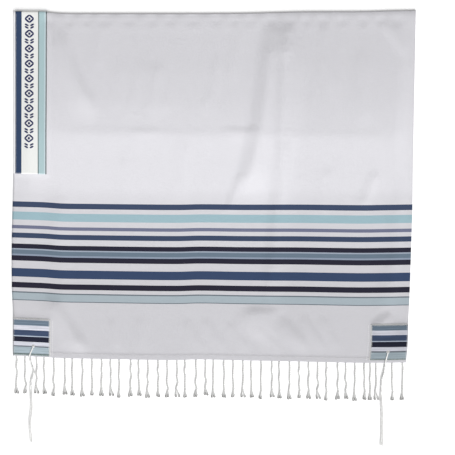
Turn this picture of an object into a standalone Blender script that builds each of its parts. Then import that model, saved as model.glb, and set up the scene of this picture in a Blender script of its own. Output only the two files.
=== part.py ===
"""A prayer shawl, folded once across its length and laid flat, fold at +Y and fringe at -Y.

Metres, +Z up. The woven cloth is one wall that turns round at the fold, so one half lies on
the other. A neckband and four corner patches are sewn on its outer face. Knotted strands
fringe both short ends, and a corner tassel is threaded through an eyelet near each corner.
"""

import math
from collections import namedtuple

import bmesh
import bpy
from mathutils import Vector

# Sizes of the folded cloth
HALF_LENGTH = 0.957
CLOTH_THICKNESS = 0.0012
AIR = 0.0018
FOLD_HEIGHT = 0.0052
FOLD_SETTLES = 0.060
SEAM_GAP = 0.0003
LOWEST_DIP = -0.0012

# Sizes of what is sewn on, each a flat strip over the cloth
TRIM_THICKNESS = 0.0010
TRIM_RAMP = 0.012
BAND_MARGIN = 0.0062
BAND_WIDTH = 0.0868
BAND_HALF_LENGTH = 0.4500
PATCH_SIZE = 0.0990
PATCH_HEM_ALLOWANCE = 0.0045
EYELET_SIZE = 0.0052
EYELET_DOWN = 0.9270

# Fringe and corner tassels
FRINGE_PITCH = 0.0262
FRINGE_MARGIN = 0.0090
FRINGE_LENGTH = 0.104
STRIP_DEPTH = 0.0030
STRAND_WIDTH = 0.0042
STRAND_HEIGHT = 0.0020
STRAND_KNOT_WIDTH = 0.0062
TUFT_WIDTH = 0.0105
TUFT_SPREAD = 0.40
STRAND_SPACING = 0.0160
FLOOR_GAP = 0.0003
STRAND_GAP = 0.0004
CORD_WIDTH = 0.0036
CORD_HEIGHT = 0.0012
CORD_GAP = 0.0005
WOUND_WIDTH = 0.0042
WOUND_HEIGHT = 0.0032
TASSEL_KNOT_WIDTH = 0.0064
TASSEL_KNOT_HEIGHT = 0.0044
TASSEL_KNOT_LENGTH = 0.0040
TASSEL_KNOT_SHOULDER = 0.0025
TASSEL_KNOTS = 5
FIRST_KNOT = 0.011
KNOTTED_LENGTH = 0.078
BLOCK_START = 0.085
BLOCK_END = 0.091
STRING_CLEARANCE = 0.0010
STRING_UNDER_HEM = 0.0020
STRING_ASIDE = 0.0037
EYELET_TURN = 0.0012
EYELET_RUN = 0.0016
EYELET_NUDGE = 0.0004
LOOSE_WIDTH = 0.0015
LOOSE_GAP = 0.0004
LOOSE_COLUMNS = 4
LOOSE_ROWS = 2
LOOSE_STAGES = (0.12, 0.40, 0.70, 1.0)

# How unevenly the strands lie
ROOT_SPREAD = 0.0035
DRIFT_SPREAD = 0.0028
FRINGE_LENGTH_SPREAD = 0.035
LOOSE_LENGTH_SPREAD = 0.004

# Spacing of the cloth's grid lines
ACROSS_STEP = 0.036
DOWN_STEP = 0.040
LOWER_STEP = 0.120
BEND_STEPS = 4

# The ends of the upper half, from its left side to its right: the fold's and the hem's place
End = namedtuple("End", "across fold hem")
ENDS = [
    End(0.000, 0.0038, -0.9450),
    End(0.080, 0.0028, -0.9492),
    End(0.125, -0.0010, -0.9522),
    End(0.195, -0.0016, -0.9538),
    End(0.295, -0.0016, -0.9560),
    End(0.415, -0.0016, -0.9577),
    End(0.470, -0.0015, -0.9558),
    End(0.570, -0.0006, -0.9582),
    End(0.640, 0.0012, -0.9598),
    End(0.720, 0.0034, -0.9614),
    End(0.870, 0.0042, -0.9650),
    End(0.935, 0.0062, -0.9650),
    End(1.000, 0.0076, -0.9640),
]

# The long sides, from the fold to the hem: where the cloth's left and right edges lie
Side = namedtuple("Side", "down left right")
SIDES = [
    Side(0.00, 0.0000, 1.1099),
    Side(0.45, 0.0000, 1.1018),
    Side(0.56, -0.0018, 1.1004),
    Side(0.66, -0.0041, 1.0974),
    Side(0.80, -0.0041, 1.0929),
    Side(0.87, -0.0012, 1.0896),
    Side(0.95, -0.0010, 1.0875),
    Side(1.00, -0.0010, 1.0825),
]

# The largest folds of the upper half. Each runs along a curve from start by middle to end,
# in metres across and down, reaches so far to either hand of that way, and stands so high. Its
# ends fade over a share of its length.
Fold = namedtuple("Fold", "start middle end left_reach right_reach height fade")
FOLDS = [
    Fold((0.020, 0.330), (0.570, 0.330), (1.100, 0.335), 0.300, 0.360, 0.0085, 0.0),
    Fold((0.705, 0.010), (0.702, 0.300), (0.620, 0.540), 0.075, 0.040, 0.0062, 0.25),
    Fold((0.752, 0.005), (0.745, 0.420), (0.695, 0.850), 0.060, 0.040, 0.0040, 0.20),
    Fold((0.112, 0.050), (0.155, 0.190), (0.240, 0.305), 0.040, 0.070, 0.0056, 0.25),
    Fold((0.125, 0.470), (0.115, 0.700), (0.160, 0.935), 0.045, 0.045, 0.0040, 0.25),
    Fold((1.085, 0.440), (1.065, 0.640), (1.020, 0.870), 0.040, 0.045, 0.0038, 0.25),
    Fold((0.600, 0.830), (0.700, 0.870), (0.840, 0.920), 0.040, 0.040, 0.0024, 0.25),
    Fold((0.385, 0.130), (0.380, 0.200), (0.410, 0.300), 0.045, 0.045, 0.0018, 0.25),
]
FOLD_SAMPLES = 16
RELIEF_MARGIN = 0.055

# What is sewn on the outer face, in metres from the left or right side and from the hem
Patch = namedtuple("Patch", "side side_margin hem_margin")
PATCHES = {
    "left": Patch(-1, 0.0018, 0.0035),
    "right": Patch(1, 0.0018, 0.0080),
}

# How the corner tassels sway from a straight line, in metres down from the hem and sideways
Sway = namedtuple("Sway", "down left right")
SWAYS = [
    Sway(0.000, 0.0000, 0.0000),
    Sway(0.025, 0.0060, -0.0035),
    Sway(0.046, 0.0115, -0.0095),
    Sway(0.068, 0.0055, -0.0115),
    Sway(0.095, 0.0040, -0.0115),
    Sway(0.145, 0.0055, -0.0100),
    Sway(0.190, 0.0015, -0.0095),
    Sway(0.235, 0.0050, -0.0115),
]
Tassel = namedtuple("Tassel", "eyelet_across lean length keep_left keep_right")
TASSELS = {
    "left": Tassel(0.0566, -0.0120, 0.236, 0.0120, 0.0195),
    "right": Tassel(1.0342, -0.0085, 0.227, 0.0255, 0.0130),
}

# Colours
WHITE_WOOL = (0.80, 0.80, 0.82, 1.0)
BAND_CLOTH = (0.62, 0.68, 0.74, 1.0)
PATCH_CLOTH = (0.42, 0.48, 0.56, 1.0)
WHITE_COTTON = (0.84, 0.84, 0.84, 1.0)

COLLECTION_NAME = "folded_prayer_shawl"


def clear_scene():
    for thing in list(bpy.data.objects):
        bpy.data.objects.remove(thing, do_unlink=True)


def cloth_material(name, colour, roughness):
    material = bpy.data.materials.new(name)
    material.use_nodes = True
    shader = material.node_tree.nodes["Principled BSDF"]
    shader.inputs["Base Color"].default_value = colour
    shader.inputs["Roughness"].default_value = roughness
    shader.inputs["Metallic"].default_value = 0.0
    return material


def smooth_step(low, high, value):
    share = min(max((value - low) / (high - low), 0.0), 1.0)
    return share * share * (3.0 - 2.0 * share)


def eased(rows, column, place):
    """A table's column at a place between its rows, on a smooth curve through them."""
    places = [row[0] for row in rows]
    values = [getattr(row, column) for row in rows]
    last = len(rows) - 1
    place = min(max(place, places[0]), places[last])
    row = max(i for i in range(last) if places[i] <= place)
    width = places[row + 1] - places[row]

    def slope(at):
        before = max(at - 1, 0)
        after = min(at + 1, last)
        return (values[after] - values[before]) / (places[after] - places[before])

    share = (place - places[row]) / width
    start_weight = (1.0 + 2.0 * share) * (1.0 - share) ** 2
    end_weight = share ** 2 * (3.0 - 2.0 * share)
    bend_out = share * (1.0 - share) ** 2 * width * slope(row)
    bend_in = share ** 2 * (share - 1.0) * width * slope(row + 1)
    return values[row] * start_weight + values[row + 1] * end_weight + bend_out + bend_in


def flat_place(across, down):
    """Where a point of the cloth lies, from its shares across and down the upper half."""
    left = eased(SIDES, "left", down)
    right = eased(SIDES, "right", down)
    fold = eased(ENDS, "fold", across)
    hem = eased(ENDS, "hem", across)
    return left + (right - left) * across, fold + (hem - fold) * down


def fold_curve(fold):
    points = []
    for step in range(FOLD_SAMPLES + 1):
        share = step / FOLD_SAMPLES
        weights = ((1 - share) ** 2, 2 * share * (1 - share), share ** 2)
        ends = (fold.start, fold.middle, fold.end)
        points.append(tuple(sum(w * e[k] for w, e in zip(weights, ends)) for k in (0, 1)))
    return points


FOLD_CURVES = [fold_curve(fold) for fold in FOLDS]


def end_fade(fold, run):
    if fold.fade == 0.0:
        return 1.0
    return smooth_step(0.0, fold.fade, run) * smooth_step(0.0, fold.fade, 1.0 - run)


def fold_height(fold, curve, across, down):
    """The height that one fold adds at a place, in metres across and down."""
    nearest = min(range(len(curve)), key=lambda i: math.dist(curve[i], (across, down)))
    before = curve[max(nearest - 1, 0)]
    after = curve[min(nearest + 1, FOLD_SAMPLES)]
    way = Vector((after[0] - before[0], after[1] - before[1])).normalized()
    away = Vector((across - curve[nearest][0], down - curve[nearest][1]))
    sideways = way.x * away.y - way.y * away.x
    reach = fold.right_reach if sideways > 0 else fold.left_reach
    across_share = min(abs(sideways) / reach, 1.0)
    beyond = min(abs(way.dot(away)) / max(fold.left_reach, fold.right_reach), 1.0)
    run = nearest / FOLD_SAMPLES
    profile = (1.0 - across_share) ** 2 * (1.0 + across_share)
    return fold.height * profile * end_fade(fold, run) * (1.0 - beyond)


def relief(across, down):
    """How far the upper half stands off its resting height, dying away at its edges."""
    x, y = flat_place(across, down)
    total = sum(fold_height(f, c, x, -y) for f, c in zip(FOLDS, FOLD_CURVES))
    width = eased(SIDES, "right", down)
    sides = smooth_step(0.0, RELIEF_MARGIN, min(across, 1.0 - across) * width)
    ends = smooth_step(0.0, RELIEF_MARGIN, min(down, 1.0 - down) * HALF_LENGTH)
    return max(total, LOWEST_DIP) * sides * ends


Region = namedtuple("Region", "left right top bottom")


def band_region():
    width = SIDES[0].right
    left = BAND_MARGIN / width
    return Region(left, left + BAND_WIDTH / width, 0.0, BAND_HALF_LENGTH / HALF_LENGTH)


def patch_region(patch):
    width = SIDES[-2].right
    near = patch.side_margin / width
    far = near + PATCH_SIZE / width
    bottom = 1.0 - patch.hem_margin / HALF_LENGTH
    top = 1.0 - (PATCH_SIZE + PATCH_HEM_ALLOWANCE) / HALF_LENGTH
    if patch.side > 0:
        near, far = 1.0 - far, 1.0 - near
    return Region(near, far, top, bottom)


def eyelet_region(tassel):
    width = SIDES[-2].right
    half = EYELET_SIZE / 2
    left = (tassel.eyelet_across - half) / width
    right = (tassel.eyelet_across + half) / width
    top = (EYELET_DOWN - half) / HALF_LENGTH
    bottom = (EYELET_DOWN + half) / HALF_LENGTH
    return Region(left, right, top, bottom)


BAND = band_region()
PATCH_REGIONS = {name: patch_region(patch) for name, patch in PATCHES.items()}
EYELETS = {name: eyelet_region(tassel) for name, tassel in TASSELS.items()}
COVERED = [
    Region(0.0, BAND.right, BAND.top, BAND.bottom),
    Region(0.0, PATCH_REGIONS["left"].right, PATCH_REGIONS["left"].top, 1.0),
    Region(PATCH_REGIONS["right"].left, 1.0, PATCH_REGIONS["right"].top, 1.0),
]
RAMP_ACROSS = TRIM_RAMP / SIDES[0].right
RAMP_DOWN = TRIM_RAMP / HALF_LENGTH


def cover_height(across, down):
    """How far the cloth is lifted, out to its edges, by what is sewn beneath its lower half."""
    height = 0.0
    for region in COVERED:
        beside = max(region.left - across, across - region.right, 0.0) / RAMP_ACROSS
        along = max(region.top - down, down - region.bottom, 0.0) / RAMP_DOWN
        share = max(1.0 - max(beside, along), 0.0)
        height = max(height, share * (SEAM_GAP + TRIM_THICKNESS))
    return height


def resting_height(across, down):
    """The height of the upper half's outer face."""
    fold_start = FOLD_HEIGHT / 2 / HALF_LENGTH
    flat_height = 2 * CLOTH_THICKNESS + AIR
    settled = smooth_step(fold_start, fold_start + FOLD_SETTLES / HALF_LENGTH, down)
    height = FOLD_HEIGHT + (flat_height - FOLD_HEIGHT) * settled
    return cover_height(across, down) + height + relief(across, down) * settled


def between(low, high, step):
    """Even places from low to high, both left out, no further apart than step."""
    count = max(math.ceil((high - low) / step), 1)
    return [low + (high - low) * i / count for i in range(1, count)]


def region_edges(regions, first, second):
    return [getattr(region, name) for region in regions for name in (first, second)]


def filled_lines(marks, step):
    marks = sorted(set(marks))
    lines = [marks[0]]
    for low, high in zip(marks, marks[1:]):
        lines += between(low, high, step) + [high]
    return lines


def across_lines():
    marks = [0.0, 1.0, BAND.left, BAND.right]
    marks += region_edges(PATCH_REGIONS.values(), "left", "right")
    marks += region_edges(EYELETS.values(), "left", "right")
    marks += [PATCH_REGIONS["left"].right + RAMP_ACROSS, PATCH_REGIONS["right"].left - RAMP_ACROSS]
    return filled_lines(marks, ACROSS_STEP)


def down_lines(lower):
    fold_start = FOLD_HEIGHT / 2 / HALF_LENGTH
    marks = [fold_start, 1.0, BAND.bottom, BAND.bottom + RAMP_DOWN]
    marks += [region.bottom for region in PATCH_REGIONS.values()]
    patch_top = PATCH_REGIONS["left"].top
    marks += [patch_top, patch_top - RAMP_DOWN]
    if lower:
        return filled_lines(marks, LOWER_STEP)
    eyelet = EYELETS["left"]
    return filled_lines(marks + [eyelet.top, eyelet.bottom], DOWN_STEP)


Row = namedtuple("Row", "down turn")


def cloth_rows():
    """Rows from the upper hem up to the fold, round it, and back along the lower half."""
    upper = down_lines(False)
    lower = down_lines(True)
    rows = [Row(down, 0.0) for down in reversed(upper)]
    rows += [Row(upper[0], math.pi * i / BEND_STEPS) for i in range(1, BEND_STEPS)]
    rows += [Row(down, math.pi) for down in lower]
    return rows


def cloth_point(across, row):
    """A point of the cloth's outer face."""
    x, y = flat_place(across, row.down)
    low = cover_height(across, row.down)
    if row.turn == math.pi:
        return Vector((x, y, low))
    if row.turn == 0.0:
        return Vector((x, y, resting_height(across, row.down)))
    radius = FOLD_HEIGHT / 2
    return Vector((x, y + radius * math.sin(row.turn), low + radius + radius * math.cos(row.turn)))


ACROSS = across_lines()
ROWS = cloth_rows()


def cloth_grid():
    """The outer face's points and normals, by column and row."""
    mesh = bmesh.new()
    verts = {}
    for column, across in enumerate(ACROSS):
        for row, place in enumerate(ROWS):
            verts[column, row] = mesh.verts.new(cloth_point(across, place))
    for column in range(len(ACROSS) - 1):
        for row in range(len(ROWS) - 1):
            grid_face(mesh, verts, column, row)
    mesh.normal_update()
    points = {key: vert.co.copy() for key, vert in verts.items()}
    normals = {key: vert.normal.copy() for key, vert in verts.items()}
    mesh.free()
    return points, normals


def grid_face(mesh, verts, column, row):
    mesh.faces.new((
        verts[column, row],
        verts[column + 1, row],
        verts[column + 1, row + 1],
        verts[column, row + 1],
    ))


def line_number(lines, place):
    return min(range(len(lines)), key=lambda i: abs(lines[i] - place))


def upper_row(down):
    rows = [i for i, row in enumerate(ROWS) if row.turn == 0.0]
    return min(rows, key=lambda i: abs(ROWS[i].down - down))


def lower_row(down):
    rows = [i for i, row in enumerate(ROWS) if row.turn == math.pi]
    return min(rows, key=lambda i: abs(ROWS[i].down - down))


def eyelet_cells():
    """The grid cells that are left open, one at each eyelet of the upper half."""
    cells = set()
    for region in EYELETS.values():
        cells.add((line_number(ACROSS, region.left), upper_row(region.bottom)))
    return cells


def finish_object(name, mesh, material, collection):
    data = bpy.data.meshes.new(name)
    mesh.normal_update()
    mesh.to_mesh(data)
    mesh.free()
    data.materials.append(material)
    thing = bpy.data.objects.new(name, data)
    collection.objects.link(thing)
    return thing


def sewn_sheet(name, grid, columns, rows, raised, thickness, material, collection):
    """A wall over part of the cloth's grid, its outer face raised from it, eyelets left open."""
    points, normals = grid
    mesh = bmesh.new()
    verts = {}
    for column in range(columns[0], columns[1] + 1):
        for row in range(rows[0], rows[1] + 1):
            place = points[column, row] + normals[column, row] * raised
            verts[column, row] = mesh.verts.new(place)
    open_cells = eyelet_cells()
    for column in range(*columns):
        for row in range(*rows):
            if (column, row) not in open_cells:
                grid_face(mesh, verts, column, row)
    bmesh.ops.triangulate(mesh, faces=mesh.faces, quad_method="FIXED")
    sheet = finish_object(name, mesh, material, collection)
    wall = sheet.modifiers.new("wall", "SOLIDIFY")
    wall.thickness = thickness
    wall.offset = -1.0
    sheet.data.shade_smooth()
    return sheet


def make_neckband(grid, material, collection):
    columns = (line_number(ACROSS, BAND.left), line_number(ACROSS, BAND.right))
    rows = (upper_row(BAND.bottom), lower_row(BAND.bottom))
    raised = SEAM_GAP + TRIM_THICKNESS
    sewn_sheet("neckband", grid, columns, rows, raised, TRIM_THICKNESS, material, collection)


def make_patches(grid, material, collection):
    raised = SEAM_GAP + TRIM_THICKNESS
    for side, region in PATCH_REGIONS.items():
        columns = (line_number(ACROSS, region.left), line_number(ACROSS, region.right))
        upper = (upper_row(region.bottom), upper_row(region.top))
        lower = (lower_row(region.top), lower_row(region.bottom))
        for half, rows in (("upper", upper), ("lower", lower)):
            name = f"corner_patch_{half}_{side}"
            sewn_sheet(name, grid, columns, rows, raised, TRIM_THICKNESS, material, collection)


def wobble(number, seed):
    """A repeatable number from -1 to 1 for each strand."""
    return math.sin(number * 12.9898 + seed * 78.233) * math.cos(number * 4.137 + seed)


def hem_exit(side):
    """Where a corner tassel crosses the hem, in metres across and its place along Y."""
    tassel = TASSELS[side]
    x = tassel.eyelet_across + tassel.lean
    share = x / SIDES[-1].right
    return x, flat_place(share, 1.0)[1]


def sway(side, down):
    return eased(SWAYS, side, down)


def strand_root(number, count):
    """A strand's place across the hem, kept clear of the corner tassels."""
    last = SIDES[-1].right - FRINGE_MARGIN
    x = FRINGE_MARGIN + (last - FRINGE_MARGIN) * number / (count - 1)
    x += ROOT_SPREAD * wobble(number, 1) * (0 < number < count - 1)
    for side, tassel in TASSELS.items():
        crossing = hem_exit(side)[0]
        if crossing - tassel.keep_left < x < crossing:
            x = crossing - tassel.keep_left
        if crossing <= x < crossing + tassel.keep_right:
            x = crossing + tassel.keep_right
    return x


def strand_roots(count):
    """The strands' places across the hem, each a little apart from the one on its right."""
    roots = [strand_root(number, count) for number in range(count)]
    for number in reversed(range(count - 1)):
        roots[number] = min(roots[number], roots[number + 1] - STRAND_SPACING)
    return roots


def moved_face(mesh, face, corners, places):
    """Draws a face out to new places, and gives the new face and its corners in order."""
    drawn = bmesh.ops.extrude_discrete_faces(mesh, faces=[face])["faces"][0]
    found = [min(drawn.verts, key=lambda v: (v.co - corner.co).length) for corner in corners]
    for vert, place in zip(found, places):
        vert.co = place
    return drawn, found


def section(centre, width, height, up=Vector((0, 0, 1))):
    """Four corners round a centre: low left, high left, high right, low right."""
    side = Vector((width / 2, 0, 0))
    rise = up * (height / 2)
    return [centre - side - rise, centre - side + rise, centre + side + rise, centre + side - rise]


Stage = namedtuple("Stage", "down width height")
STRAND_STAGES = [
    Stage(0.16, STRAND_WIDTH, STRAND_HEIGHT),
    Stage(0.45, STRAND_WIDTH, STRAND_HEIGHT),
    Stage(0.72, STRAND_WIDTH, STRAND_HEIGHT),
    Stage(0.76, STRAND_KNOT_WIDTH, STRAND_HEIGHT),
    Stage(0.80, STRAND_WIDTH, STRAND_HEIGHT),
]


def hem_place(hem, x):
    """The point of the cloth's edge at a place across."""
    for start, end in zip(hem, hem[1:]):
        if x <= end.x:
            break
    return start.lerp(end, (x - start.x) / (end.x - start.x))


def make_fringe(name, grid, upper, material, collection):
    """A narrow strip along one hem, 0.3 mm off the cloth, with its strands drawn out of it."""
    points = grid[0]
    row = 0 if upper else len(ROWS) - 1
    hem = [points[column, row] for column in range(len(ACROSS))]
    count = round((SIDES[-1].right - 2 * FRINGE_MARGIN) / FRINGE_PITCH) + 1
    roots = strand_roots(count)
    stations = [hem[0].x + SEAM_GAP]
    for root in roots:
        stations += [root - STRAND_WIDTH / 2, root + STRAND_WIDTH / 2]
    stations.append(hem[-1].x - SEAM_GAP)

    mesh = bmesh.new()
    rings = []
    for x in stations:
        edge = hem_place(hem, x)
        low = edge.z - CLOTH_THICKNESS if upper else edge.z
        high = edge.z if upper else edge.z + CLOTH_THICKNESS
        near = edge.y - SEAM_GAP
        far = near - STRIP_DEPTH
        corners = [(x, far, low), (x, far, high), (x, near, high), (x, near, low)]
        rings.append([mesh.verts.new(corner) for corner in corners])
    mesh.faces.new(rings[0])
    mesh.faces.new(reversed(rings[-1]))
    root_faces = []
    for number, (left, right) in enumerate(zip(rings, rings[1:])):
        for k in range(4):
            face = mesh.faces.new((left[k], right[k], right[(k + 1) % 4], left[(k + 1) % 4]))
            if k == 0 and number % 2 == 1:
                root_faces.append((face, [left[0], left[1], right[1], right[0]]))
    rest = FLOOR_GAP + STRAND_HEIGHT / 2
    if upper:
        rest += STRAND_HEIGHT + STRAND_GAP
    for number, (face, corners) in enumerate(root_faces):
        start = sum((corner.co for corner in corners), Vector()) / 4
        length = FRINGE_LENGTH * (1.0 + FRINGE_LENGTH_SPREAD * wobble(number, 2))
        tuft = TUFT_WIDTH * (1.0 + TUFT_SPREAD * wobble(number, 8))
        for stage in STRAND_STAGES + [Stage(1.0, tuft, STRAND_HEIGHT)]:
            drift = DRIFT_SPREAD * wobble(number + 3.7 * stage.down, 3) * stage.down
            middle = Vector((start.x + drift, start.y - length * stage.down, rest))
            places = section(middle, stage.width, stage.height)
            face, corners = moved_face(mesh, face, corners, places)
    bmesh.ops.recalc_face_normals(mesh, faces=mesh.faces)
    finish_object(name, mesh, material, collection)


def loose_block(mesh, middle, far):
    """The end of a tassel's wound part: a block whose far face is ruled for its loose strands."""
    pitch = LOOSE_WIDTH + LOOSE_GAP
    xs = []
    for column in range(LOOSE_COLUMNS):
        left = middle.x + (column - (LOOSE_COLUMNS - 1) / 2) * pitch - LOOSE_WIDTH / 2
        xs += [left, left + LOOSE_WIDTH]
    zs = []
    for row in range(LOOSE_ROWS):
        low = middle.z + (row - (LOOSE_ROWS - 1) / 2) * pitch - LOOSE_WIDTH / 2
        zs += [low, low + LOOSE_WIDTH]
    ruled = [[mesh.verts.new((x, far, z)) for z in zs] for x in xs]
    cells = {}
    for i in range(len(xs) - 1):
        for k in range(len(zs) - 1):
            corners = [ruled[i][k], ruled[i][k + 1], ruled[i + 1][k + 1], ruled[i + 1][k]]
            cells[i, k] = (mesh.faces.new(corners), corners)
    width = xs[-1] - xs[0]
    height = zs[-1] - zs[0]
    back = [mesh.verts.new(place) for place in section(middle, width, height)]
    low_left, high_left, high_right, low_right = back
    mesh.faces.new([low_left, high_left] + [ruled[0][k] for k in reversed(range(len(zs)))])
    mesh.faces.new([high_left, high_right] + [ruled[i][-1] for i in reversed(range(len(xs)))])
    mesh.faces.new([high_right, low_right] + [ruled[-1][k] for k in range(len(zs))])
    mesh.faces.new([low_right, low_left] + [ruled[i][0] for i in range(len(xs))])
    face = mesh.faces.new(back)
    strands = [cells[i, k] for i in range(0, len(xs), 2) for k in range(0, len(zs), 2)]
    return face, back, strands


def tassel_stages():
    """Widths and heights down the knotted part, from its lowest knot up to the hem."""
    stages = []
    knot_half = TASSEL_KNOT_LENGTH / 2
    for knot in reversed(range(TASSEL_KNOTS)):
        down = FIRST_KNOT + (KNOTTED_LENGTH - FIRST_KNOT) * knot / (TASSEL_KNOTS - 1)
        stages += [
            Stage(down + knot_half + TASSEL_KNOT_SHOULDER, WOUND_WIDTH, WOUND_HEIGHT),
            Stage(down + knot_half, TASSEL_KNOT_WIDTH, TASSEL_KNOT_HEIGHT),
            Stage(down - knot_half, TASSEL_KNOT_WIDTH, TASSEL_KNOT_HEIGHT),
            Stage(down - knot_half - TASSEL_KNOT_SHOULDER, WOUND_WIDTH, WOUND_HEIGHT),
        ]
    return stages


StringPoint = namedtuple("StringPoint", "place up")


def string_path(upper, side):
    """The strings over the hem to the eyelet; the upper half's go through it and come back."""
    exit_x, hem_y = hem_exit(side)
    region = EYELETS[side]
    middle = ((region.left + region.right) / 2, (region.top + region.bottom) / 2)
    eyelet_x, eyelet_y = flat_place(*middle)
    half_cord = CORD_HEIGHT / 2
    trim_top = CLOTH_THICKNESS * 2 + AIR + 2 * SEAM_GAP + 2 * TRIM_THICKNESS
    over = trim_top + SEAM_GAP + half_cord
    inside = 2 * SEAM_GAP + TRIM_THICKNESS + CLOTH_THICKNESS + half_cord
    apart = CORD_WIDTH / 2 + CORD_GAP
    start_y = hem_y - STRIP_DEPTH - STRING_CLEARANCE
    if not upper:
        return [
            StringPoint((exit_x - apart, start_y, inside), (0, 0, 1)),
            StringPoint((eyelet_x - 2 * apart, eyelet_y, inside), (0, 0, 1)),
        ]
    turn_y = eyelet_y + EYELET_NUDGE
    return [
        StringPoint((exit_x, start_y, over), (0, 0, 1)),
        StringPoint((eyelet_x, turn_y - EYELET_RUN, over), (0, 0, 1)),
        StringPoint((eyelet_x, turn_y, over - EYELET_TURN), (0, 1, 0)),
        StringPoint((eyelet_x, turn_y, inside + EYELET_TURN), (0, 1, 0)),
        StringPoint((eyelet_x, turn_y - EYELET_RUN, inside), (0, 0, -1)),
        StringPoint((exit_x + STRING_ASIDE, hem_y + STRING_UNDER_HEM, inside), (0, 0, -1)),
    ]


def make_tassel(half, side, material, collection):
    """A corner tassel: strands threaded through the eyelet, knotted and wound, then loose."""
    upper = half == "upper"
    tassel = TASSELS[side]
    exit_x, hem_y = hem_exit(side)
    loose_rest = FLOOR_GAP + LOOSE_WIDTH + LOOSE_GAP / 2
    wound_rest = FLOOR_GAP + TASSEL_KNOT_HEIGHT / 2
    if upper:
        loose_rest += 2 * (LOOSE_WIDTH + LOOSE_GAP)
        wound_rest += TASSEL_KNOT_HEIGHT + STRAND_GAP

    def place(down, height):
        return Vector((exit_x + sway(side, down), hem_y - down, height))

    mesh = bmesh.new()
    start = place(BLOCK_START, (wound_rest + loose_rest) / 2)
    face, corners, strands = loose_block(mesh, start, hem_y - BLOCK_END)
    for stage in tassel_stages():
        places = section(place(stage.down, wound_rest), stage.width, stage.height)
        face, corners = moved_face(mesh, face, corners, places)
    for point in string_path(upper, side):
        places = section(Vector(point.place), CORD_WIDTH, CORD_HEIGHT, Vector(point.up))
        face, corners = moved_face(mesh, face, corners, places)

    # The loose strands
    for number, (face, corners) in enumerate(strands):
        root = sum((corner.co for corner in corners), Vector()) / 4
        offset = Vector((root.x - start.x, 0, root.z - start.z))
        length = tassel.length + LOOSE_LENGTH_SPREAD * wobble(number, 5)
        for share in LOOSE_STAGES:
            middle = place(BLOCK_END + (length - BLOCK_END) * share, loose_rest) + offset
            places = section(middle, LOOSE_WIDTH, LOOSE_WIDTH)
            face, corners = moved_face(mesh, face, corners, places)
    bmesh.ops.recalc_face_normals(mesh, faces=mesh.faces)
    finish_object(f"tassel_{half}_{side}", mesh, material, collection)


def centre_on_origin(collection):
    """Puts the middle of the part's underside at the origin, by moving the parts' parent."""
    bpy.context.view_layer.update()
    graph = bpy.context.evaluated_depsgraph_get()
    lows = Vector((math.inf,) * 3)
    highs = Vector((-math.inf,) * 3)
    for thing in collection.objects:
        for corner in thing.evaluated_get(graph).bound_box:
            lows = Vector(map(min, lows, corner))
            highs = Vector(map(max, highs, corner))
    root = bpy.data.objects.new("folded_shawl_root", None)
    root.location = (-(lows.x + highs.x) / 2, -(lows.y + highs.y) / 2, -lows.z)
    for thing in list(collection.objects):
        thing.parent = root
    collection.objects.link(root)


def main():
    clear_scene()
    collection = bpy.data.collections.new(COLLECTION_NAME)
    bpy.context.scene.collection.children.link(collection)
    white = cloth_material("white_wool", WHITE_WOOL, 0.85)
    band = cloth_material("band_cloth", BAND_CLOTH, 0.60)
    patch = cloth_material("patch_cloth", PATCH_CLOTH, 0.80)
    cotton = cloth_material("white_cotton", WHITE_COTTON, 0.80)

    grid = cloth_grid()
    columns = (0, len(ACROSS) - 1)
    rows = (0, len(ROWS) - 1)
    sewn_sheet("shawl_cloth", grid, columns, rows, 0.0, CLOTH_THICKNESS, white, collection)
    make_neckband(grid, band, collection)
    make_patches(grid, patch, collection)
    make_fringe("fringe_upper", grid, True, white, collection)
    make_fringe("fringe_lower", grid, False, white, collection)
    for half in ("upper", "lower"):
        for side in TASSELS:
            make_tassel(half, side, cotton, collection)
    centre_on_origin(collection)


main()
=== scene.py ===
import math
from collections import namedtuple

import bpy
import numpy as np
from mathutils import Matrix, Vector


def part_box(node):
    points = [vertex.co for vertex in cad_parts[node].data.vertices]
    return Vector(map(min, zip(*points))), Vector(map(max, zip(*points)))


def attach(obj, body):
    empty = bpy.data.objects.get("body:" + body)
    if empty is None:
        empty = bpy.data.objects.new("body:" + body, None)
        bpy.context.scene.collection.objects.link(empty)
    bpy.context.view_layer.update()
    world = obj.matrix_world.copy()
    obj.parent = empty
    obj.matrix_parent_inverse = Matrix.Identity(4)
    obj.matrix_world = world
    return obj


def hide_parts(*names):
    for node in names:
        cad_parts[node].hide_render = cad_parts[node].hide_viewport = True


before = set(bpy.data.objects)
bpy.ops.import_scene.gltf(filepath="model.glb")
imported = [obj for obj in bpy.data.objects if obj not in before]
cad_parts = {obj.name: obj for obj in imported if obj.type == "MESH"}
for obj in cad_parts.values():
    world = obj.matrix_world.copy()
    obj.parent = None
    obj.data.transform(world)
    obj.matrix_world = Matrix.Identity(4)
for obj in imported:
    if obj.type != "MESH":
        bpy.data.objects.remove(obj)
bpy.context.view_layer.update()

# The looks of the folded prayer shawl: cloth, sewing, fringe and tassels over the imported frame.
#
# Metres, +Z up, where a table doesn't say millimetres. The cloth's shape follows the part's own
# sizes, which are repeated below. A place on the cloth is given by its share across, from the
# left side, and its share down one half, from the fold. "Outer" is the face that shows: up on
# the upper half, down on the lower one.

TURN = 2 * math.pi
UP = np.array([0.0, 0.0, 1.0])


def table(columns, rows):
    """Rows with named columns."""
    kind = namedtuple("TableRow", columns)
    return [kind(*row) for row in rows]


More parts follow.
